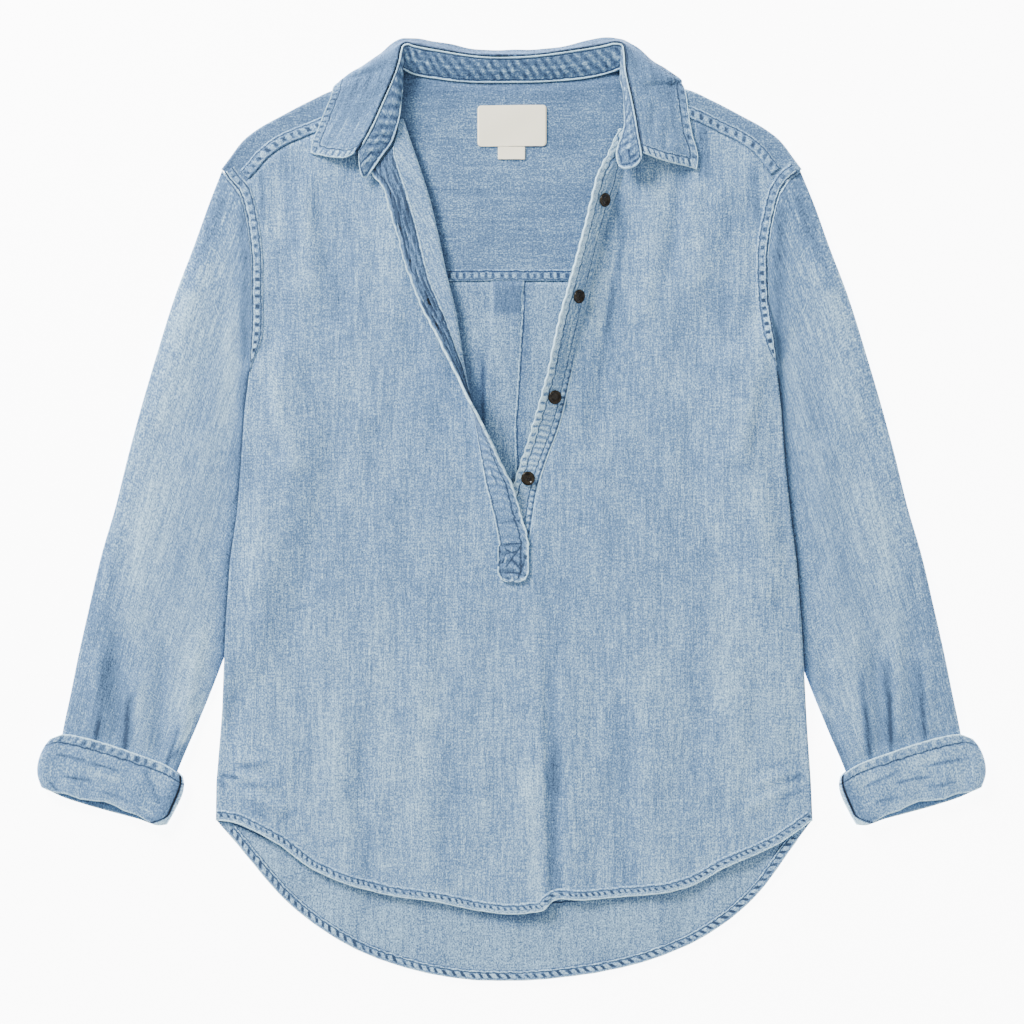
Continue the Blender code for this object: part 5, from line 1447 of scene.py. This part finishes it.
def build_sleeve(side, name, material):
    along = even(SLEEVE_RINGS)
    armhole = side_points(side, SLEEVE_TOP_YS)
    armhole[:, 0] += side * (0.1 - tucked(armhole[:, 1]))
    armhole = np.vstack([armhole, mirrored(SLEEVE_CORNER, side)])
    outer, inner = mirrored(SLEEVE_OUTER, side), mirrored(SLEEVE_INNER, side)
    outer[0], inner[0] = armhole[0], armhole[-1]

    def plan_of(across, _):
        plan = ring_plan(armhole, [outer[-1], inner[-1]], outer, inner, across, along)
        y = plan[..., 1]
        ring = along[:, None] * 14.0
        least = half_width(y, side) + 0.1 - tucked(y) + 3.6 * ring * smooth((y - 100.0) / 30.0)
        least = least - 0.9 * np.maximum(116.8 - y, 0.0)
        plan[..., 0] = side * np.maximum(np.abs(plan[..., 0]), least)
        return plan

    def heights_of(x, y):
        low, high = sleeve_heights(x, y, side)
        high = np.maximum(high, SLEEVE_UNDER_BODY + 0.5 * smooth((y - 128.0) / 6.0))
        outside = np.abs(x) - half_width(y, side)
        free = np.maximum(smooth((outside - 6.0) / 20.0), smooth((y - 150.0) / 25.0))
        free = free * smooth((above_cuff(x, y) - 1.0) / 16.0)
        lift = 0.6 * ripple(x, y, 1.1 + side)
        for row in SLEEVE_CREASES[side]:
            lift = lift + fold(x, y, *row)
        return low, high + free * np.maximum(lift, -1.6)

    rings, angles = ring_grid(90, 38, plan_of, heights_of, CLOTH, 0.011)
    x, y = rings[0][..., 0], rings[0][..., 1]
    grain = pair((1 - np.cos(angles)) / 2 * SLEEVE_GRAIN[0], along[:, None] * SLEEVE_GRAIN[1])
    down = arc_lengths(rings[0])
    dark, lower, shadow = SLEEVE_TONES[side]
    tone = 0.2 * smooth((down - 20.0) / 60.0) - dark - lower * smooth((down - 240.0) / 160.0)
    up = (np.sin(angles) > 0.0)[None]
    # Painted shadow of the body on the sleeve's upper face, beside the body's edge.
    beside = np.maximum(np.abs(x) - half_width(y, side), 0.0)
    painted_body_shadow = 1.1 * bell(beside, 1.8) + shadow * bell(beside, 9.0)
    painted_body_shadow = painted_body_shadow * smooth((128.0 - y) / 20.0)
    tone = tone + up * (shaded(x, y, SLEEVE_CREASES[side], SLEEVE_SHADES[side]) - painted_body_shadow)
    return tube(f"sleeve_{name}_cloth", side, rings, material, grain, (tone, down, FAR))


# How much shorter the front of a cuff is than its back: share across it, mm.
CUFF_SHORTER = (
    (0.0, 0.3), (0.1, 1.2), (0.2, 4.4), (0.32, 3.8), (0.43, 6.2), (0.49, 7.8), (0.57, 6.8), (0.66, 4.4),
    (0.74, 4.0), (0.8, 2.8), (0.9, 0.8), (1.0, 0.2),
)
# Wrinkles of the left and the right cuff, with painted shade in them and painted highlight beside them:
# across and down it in mm, half width and tone.
CUFF_SHADES = {
    -1: (
        (12, 15, 38, 14.6, 0.8, -0.8), (36, 15, 64, 15.4, 0.8, -0.8), (18, 29, 46, 26, 0.9, -0.8),
        (80, 8, 92, 19, 1.2, -0.6), (90, 18, 102, 27, 1.3, -0.5), (10, 34, 16, 40, 0.8, -0.8),
        (30, 20, 70, 22, 1.6, 0.3), (50, 34, 80, 33, 1.4, -0.3), (84, 34, 104, 36, 1.4, 0.3),
    ),
    1: (
        (14, 18, 44, 16, 0.9, -0.7), (40, 24, 74, 21, 0.9, -0.7), (66, 14, 96, 17, 1, -0.6),
        (22, 32, 50, 30, 1.1, -0.5), (70, 32, 94, 29, 1.1, -0.6), (30, 12, 60, 12, 1.6, 0.3),
    ),
}


def build_cuff(side, name, material):
    edges = [mirrored(edge, side) for edge in (CUFF_UPPER, CUFF_LOWER, CUFF_OUTER, CUFF_INNER)]
    along = even(CUFF_RINGS)

    def plan_of(across, front):
        front = front * np.interp(across, *np.array(CUFF_SHORTER).T)
        shift = np.array([-UP_SLEEVE[0] * side, UP_SLEEVE[1]])
        return ring_plan(*edges, across, along) + along[:, None, None]**2 * front[None, :, None] * shift

    def heights_of(x, y):
        lumps = ripple(1.6 * x, 1.6 * y, 4.0 + side, 0.9)
        return np.zeros_like(x), CUFF_TOP + lumps - 0.3

    rings, angles = ring_grid(80, 40, plan_of, heights_of, CUFF_WALL, 0.021)
    s = np.broadcast_to(along[:, None] * CUFF_DEPTH, rings[0].shape[:2])
    u = (1 - np.cos(angles))[None] / 2 * CUFF_WIDTH + 0 * s
    worn, pale = CUFF_TONES[side]
    wear, relief = seam_wear(u, s, 6.8, 7.2, 0.1, 0.35, 5.0, worn)
    tone = wear + 0.2 * smooth((s - 39.5) / 2.0) + pale
    for row in CUFF_SHADES[side]:
        tone = tone + fold(u, s, *row)
    # Beside its inner edge the front ends, and the back shows as a sliver. A black line of painted shadow
    # marks the front's end, softer painted shade lies beside it, and the sliver is lightened by painted
    # highlight.
    up = (np.sin(angles) > 0.05)[None]
    line = 2.4 + 1.6 * np.sin(math.pi * s / CUFF_DEPTH) + 12.0 * smooth((s - 31.0) / 12.0) ** 1.5
    inner_edge = CUFF_WIDTH - u - line
    tone = tone - 3.2 * up * bell(inner_edge, 0.85) + 0.6 * up * smooth(-inner_edge - 0.6)
    tone = tone - 0.3 * up * bell(inner_edge - 4.0, 4.0)
    rings[0][..., 2] += np.where(np.sin(angles) > 0.3, relief, 0.0)
    far = np.where(s > CUFF_DEPTH - 4.0, CUFF_DEPTH - s, 4.0)
    # The cuff's inside darkened by painted shade.
    return tube(f"cuff_{name}_cloth", side, rings, material, pair(u, s), (tone, s, far), -0.5)


# ---------------------------------------------------------------- buttons and labels

# The button's turned outline, from the middle of its foot: share of its radius, height in mm.
BUTTON_TURN = (
    (0.0, 0.0), (0.5, 0.0), (0.85, 0.25), (0.97, 0.7), (1.0, 1.15), (0.98, 1.6), (0.92, 2.0), (0.84, 2.25),
    (0.76, 2.3), (0.67, 2.1), (0.58, 1.6), (0.5, 1.35), (0.3, 1.3), (0.0, 1.3),
)


def circle(across, along, count):
    """Spokes of length 1 in the plane of across and along."""
    angles = np.linspace(0, 2 * math.pi, count, endpoint=False)
    return across * np.cos(angles)[:, None] + along * np.sin(angles)[:, None]


def build_button(number, y, share, horn, dark):
    table = np.array(RIGHT_EDGE[::-1])

    def place(at):
        row = np.array([[np.interp(at, table[:, 1], column) for column in table.T]])
        row[0, 1] = at
        free, seam = right_placket(row)
        return free[0], seam[0]

    free, seam = place(y)
    across = (seam - free) / np.linalg.norm(seam - free)
    below, above = [low + (high - low) * share for low, high in (place(y - 5.0), place(y + 5.0))]
    along = above - below
    along = along - across * along.dot(across)
    along = along / np.linalg.norm(along)
    normal = np.cross(across, along)
    base = free + (seam - free) * share + normal * (PLACKET_WALL / 2 + BUTTON_GAP)
    sides = BUTTON_SIDES
    spokes = circle(across, along, sides)
    points = [base]
    for radius, height in BUTTON_TURN[1:-1]:
        points += list(base + spokes * radius * BUTTON_RADIUS + normal * height)
    points.append(base + normal * BUTTON_TURN[-1][1])
    faces = []
    rings = len(BUTTON_TURN) - 2
    last = 1 + (rings - 1) * sides
    for step in range(sides):
        after = (step + 1) % sides
        faces.append((0, 1 + after, 1 + step))
        faces.append((last + step, last + after, len(points) - 1))
        for low in range(1, last, sides):
            faces.append((low + step, low + after, low + sides + after, low + sides + step))
    count = len(faces)
    # Four holes, as dark discs of painted shade just over the bowl of the button.
    for hole in range(4):
        angle = math.pi / 4 + hole * math.pi / 2 + 0.3 * number
        out = across * math.cos(angle) + along * math.sin(angle)
        middle = base + out * HOLE_PLACE + normal * HOLE_LIFT
        first = len(points)
        points += list(middle + circle(across, along, HOLE_SIDES) * HOLE_RADIUS)
        faces.append(tuple(range(first, first + HOLE_SIDES)))
    piece = make_object(f"button_{number}_horn", points, faces, horn)
    piece.data.materials.append(dark)
    for face in range(count, len(faces)):
        piece.data.polygons[face].material_index = 1
    return piece


def build_label(name, box, material, seed, corner):
    """A label on the inside of the yoke, a little wavy, with corners of this radius."""
    left, right, low, high = box
    across, up = np.meshgrid(np.linspace(-1.0, 1.0, 37), (1 - np.cos(math.pi * even(22))) / 2)
    ys = low + (high - low) * up
    beyond = np.maximum(corner - np.minimum(ys - low, high - ys), 0.0)
    half = (right - left) / 2 - corner + np.sqrt(corner**2 - beyond**2)
    xs = (left + right) / 2 + half * across
    wave = 0.25 * np.sin(xs / 9.0 + seed) * np.sin(ys / 6.0 + 2 * seed)
    ys = ys + 0.3 * np.sin(xs / 23.0 + seed)
    grid = lifted(pair(xs, ys), back_height)
    grid[..., 2] += CLOTH / 2 + 0.5 + LABEL_WALL / 2 + np.maximum(wave, -0.2)
    return wall(name, Sheet().add(grid), LABEL_WALL, material)


# ---------------------------------------------------------------- everything

# Linear colours: the plain face, its dark and its worn shade, which also serve as painted shade and painted
# highlight.
FACE = ((0.118, 0.226, 0.402), (0.032, 0.056, 0.104), (0.56, 0.82, 0.96))
WRONG_SIDE = ((0.094, 0.176, 0.312), (0.026, 0.050, 0.106), (0.46, 0.72, 0.92))

# Each denim: colours, strength of its slubs, its specks and its uneven wash, and the lines along
# its sewn edges: the mark they follow, place and half width in mm, and tone.
DENIMS = {
    "body": (FACE, 1.0, 1.0, 1.0, ()),
    "inside": (WRONG_SIDE, 0.7, 1.0, 1.0, ()),
    # The back's lines: painted shadow along the pleat's right fold and just below the front's hem, and the
    # fold's pale worn edge beside it.
    "back": (WRONG_SIDE, 0.7, 1.0, 1.0, (
        ("near", 0.0, 0.9, -1.7), ("near", -1.8, 0.9, 0.8), ("far", 0.5, 0.9, -1.8))),
    "sleeve": (FACE, 1.0, 1.0, 1.0, (("near", 0.3, 1.5, 0.9), ("near", 2.4, 1.0, -0.8))),
    "placket_left": (FACE, 0.5, 1.0, 1.0, (
        ("near", 0.3, 1.1, 1.6), ("near", 4.5, 0.9, -1.2),
        ("far", 0.3, 1.0, 0.9), ("far", 2.0, 0.9, -1.2))),
    "placket_right": (FACE, 0.4, 1.0, 1.0, (
        ("near", 0.2, 1.2, 1.3), ("near", 6.4, 0.9, -1.3), ("far", 6.6, 0.9, -1.1))),
    "stand": (WRONG_SIDE, 0.4, 1.0, 1.0, (
        ("near", 0.2, 1.3, 1.2), ("near", 2.3, 0.9, -1.1), ("far", 1.2, 0.9, -1.2))),
    "leaf": (FACE, 0.8, 1.0, 1.0, (
        ("near", 0.2, 1.2, 1.2), ("near", 7.2, 0.9, -1.1),
        ("near", 8.6, 1.0, 0.25), ("far", 0.4, 1.1, -1.2))),
    "cuff": (FACE, 0.4, 1.0, 1.8, (
        ("near", 0.2, 1.3, 0.8), ("near", 6.7, 1.0, -1.2), ("far", 0.2, 1.2, 0.7))),
    "hem": (FACE, 0.3, 1.0, 1.0, (
        ("near", 0.2, 1.2, 1.4), ("near", 2.0, 1.1, 0.4),
        ("far", 0.6, 0.8, -0.9), ("far", -0.9, 1.0, 0.4))),
    "tail_hem": (FACE, 0.3, 1.0, 1.0, (
        ("near", 0.1, 1.0, 0.8), ("far", 0.8, 0.7, -1.3),
        ("far", -0.3, 0.6, 0.5), ("far", -1.3, 0.6, -1.0))),
    "armhole": (FACE, 0.3, 1.0, 1.0, (
        ("near", 2.0, 0.6, 1.0), ("near", 0.6, 0.8, -1.9),
        ("far", 0.3, 0.9, -1.1), ("far", -1.1, 0.9, 0.4))),
    "yoke_seam": (FACE, 0.3, 1.0, 1.0, (
        ("near", 0.1, 0.6, -0.6), ("near", 1.5, 0.7, 0.4),
        ("far", 0.2, 0.8, -1.1), ("far", -1.2, 0.8, 0.3))),
    "inner_seam": (WRONG_SIDE, 0.3, 1.0, 1.0, (
        ("near", 0.2, 0.7, 0.2), ("near", 1.2, 0.7, -0.8),
        ("far", 0.3, 0.9, -1.8), ("far", -1.3, 0.8, 0.15))),
    "piping": (FACE, 0.2, 0.6, 1.0, ()),
}
denim = {}
for name, (colours, slub, speckle, mottle, lines) in DENIMS.items():
    denim[name] = Denim(f"denim_{name}", colours, lines, slub, speckle, mottle).material
label_cotton = plain("label_cotton", (0.98, 0.925, 0.72), 0.9, 900.0, 0.0003)
horn = plain("button_horn", (0.006, 0.005, 0.004), 0.16, 260.0, 0.0001, (0.03, 0.023, 0.014), specular=0.16)
# The buttons' holes: near black as painted shade.
hole = plain("button_hole_shade", (0.003, 0.002, 0.002), 0.8)

back = build_back(denim["back"])
yoke = build_yoke(denim["inside"])
front = build_front(denim["body"])
placket_left = build_placket_left(denim["placket_left"])
placket_right = build_placket_right(denim["placket_right"])
stand = build_stand(denim["stand"])
leaf = build_leaf(denim["leaf"])
sleeves, cuffs = {}, {}
for side, name in SIDES:
    sleeves[name] = build_sleeve(side, name, denim["sleeve"])
    cuffs[name] = build_cuff(side, name, denim["cuff"])

# The turned and sewn edges. The tail's strip ends beside the side seams.
front_strips = [strip("front_hem", FRONT_HEM, 1, 7.2, front_top, denim["hem"], 5.6, 0.3, (1.7, 1.7),
                      2.6, 0.6)]
tail = [row for row in BACK_HEM if -240.0 < row[0] < 243.0]
tail = [(-241.5, -275.4), *tail, (243.5, -281.8)]
back_strips = [strip("back_hem", tail, 1, 7.0, back_top, denim["tail_hem"], 7.6, 1.9, (1.9, 1.9),
                     1.4, 0.8)]
for side, name in SIDES:
    arm = side_points(side, (116.0, 132.0, 155.0, 183.0, 216.0, 238.0, 255.0, 269.0, SHOULDER_Y))
    arm = np.vstack([arm, 0.25 * arm[-1] + 0.75 * shoulder_fold(side)[0][0, :2]])
    front_strips.append(strip(f"armhole_{name}", arm, side, 7.8, front_top, denim["armhole"], 7.4,
                              2.0 + side, (2.4, 0.7), 2.2, taper=34.0))
    line = spline(yoke_seam(side) + (0.0, 0.1), even(60))
    line = line[np.abs(line[:, 0]) < np.abs(line[0, 0]) - 7.6]
    strip(f"yoke_seam_{name}", line, -side, 8.4, front_top, denim["yoke_seam"], 8.0,
                             4.0 + side, (1.4, 1.1), 1.8, -0.3 * side)
inner_seam = [(-218.0, BACK_YOKE_Y + 0.4), (217.0, BACK_YOKE_Y + 0.4)]
strip("yoke_seam_back", inner_seam, 1, 8.0, inner_top, denim["inner_seam"], 6.7,
                         3.3, (1.3, 1.3), 1.6)

# Piping along the collar's seams.
rows = stand_rows()
leaf_seam = rows[6:, 0:3] + (0.0, 0.0, 1.0)
stand_foot = rows[:, 3:6] + (0.0, 0.0, 1.0)
stand_pipes = [cord("piping_leaf", leaf_seam, PIPING_RADIUS, denim["piping"], 0.8, 0.5),
               cord("piping_foot", stand_foot, PIPING_RADIUS, denim["piping"], 0.75, 1.5)]

label = build_label("label_main_cloth", MAIN_LABEL, label_cotton, 0.4, 3.0)
small_label = build_label("label_size_cloth", SIZE_LABEL, label_cotton, 1.9, 0.5)
buttons = [build_button(number, y, share, horn, hole)
           for number, (y, share) in enumerate(BUTTON_PLACES, 1)]

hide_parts("back")
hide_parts("back_yoke")
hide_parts("front")
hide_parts("placket_left")
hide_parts("placket_right")
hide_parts("collar_stand")
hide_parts("collar_leaf")
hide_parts("label_main")
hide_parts("label_size")
for name in ("left", "right"):
    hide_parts(f"sleeve_{name}")
    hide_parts(f"cuff_{name}")
for number, button in enumerate(buttons, 1):
    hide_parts(f"button_{number}")


def placed(name, data, place):
    """A new object of the scene at a place, in metres."""
    thing = bpy.data.objects.new(name, data)
    thing.location = place
    bpy.context.scene.collection.objects.link(thing)
    return thing


def lamp(name, place, size, power):
    """A square lamp that shines at the middle of the shirt."""
    data = bpy.data.lights.new(name, "AREA")
    data.shape = "SQUARE"
    data.size = size
    data.energy = power
    lamp_object = placed(name, data, place)
    lamp_object.rotation_euler = (-lamp_object.location).to_track_quat("-Z", "Y").to_euler()


# A bright floor just below the shirt, two lamps, an even sky and the camera straight above.
floor_mesh = bpy.data.meshes.new("floor")
corners = [(-FLOOR, -FLOOR, 0), (FLOOR, -FLOOR, 0), (FLOOR, FLOOR, 0), (-FLOOR, FLOOR, 0)]
floor_mesh.from_pydata(corners, [], [(0, 1, 2, 3)])
floor_mesh.materials.append(plain("floor", (0.92, 0.92, 0.92), 0.9, glow=9.0))
placed("floor", floor_mesh, (0.0, 0.0, -0.0004))

world = bpy.data.worlds.new("studio")
world.use_nodes = True
set_inputs(world.node_tree.nodes["Background"], {"Color": (1.0, 1.0, 1.0, 1.0), "Strength": 0.8})
bpy.context.scene.world = world

lamp("key", (-1.8, 2.0, 1.35), 0.9, 250.0)
lamp("fill", (1.8, -1.2, 2.2), 2.4, 30.0)

camera_data = bpy.data.cameras.new("camera")
camera_data.lens = 85.0
camera_data.sensor_width = 36.0
camera_data.clip_end = 20.0
bpy.context.scene.camera = placed("camera", camera_data, (0.0004, -0.00244, 2.061))
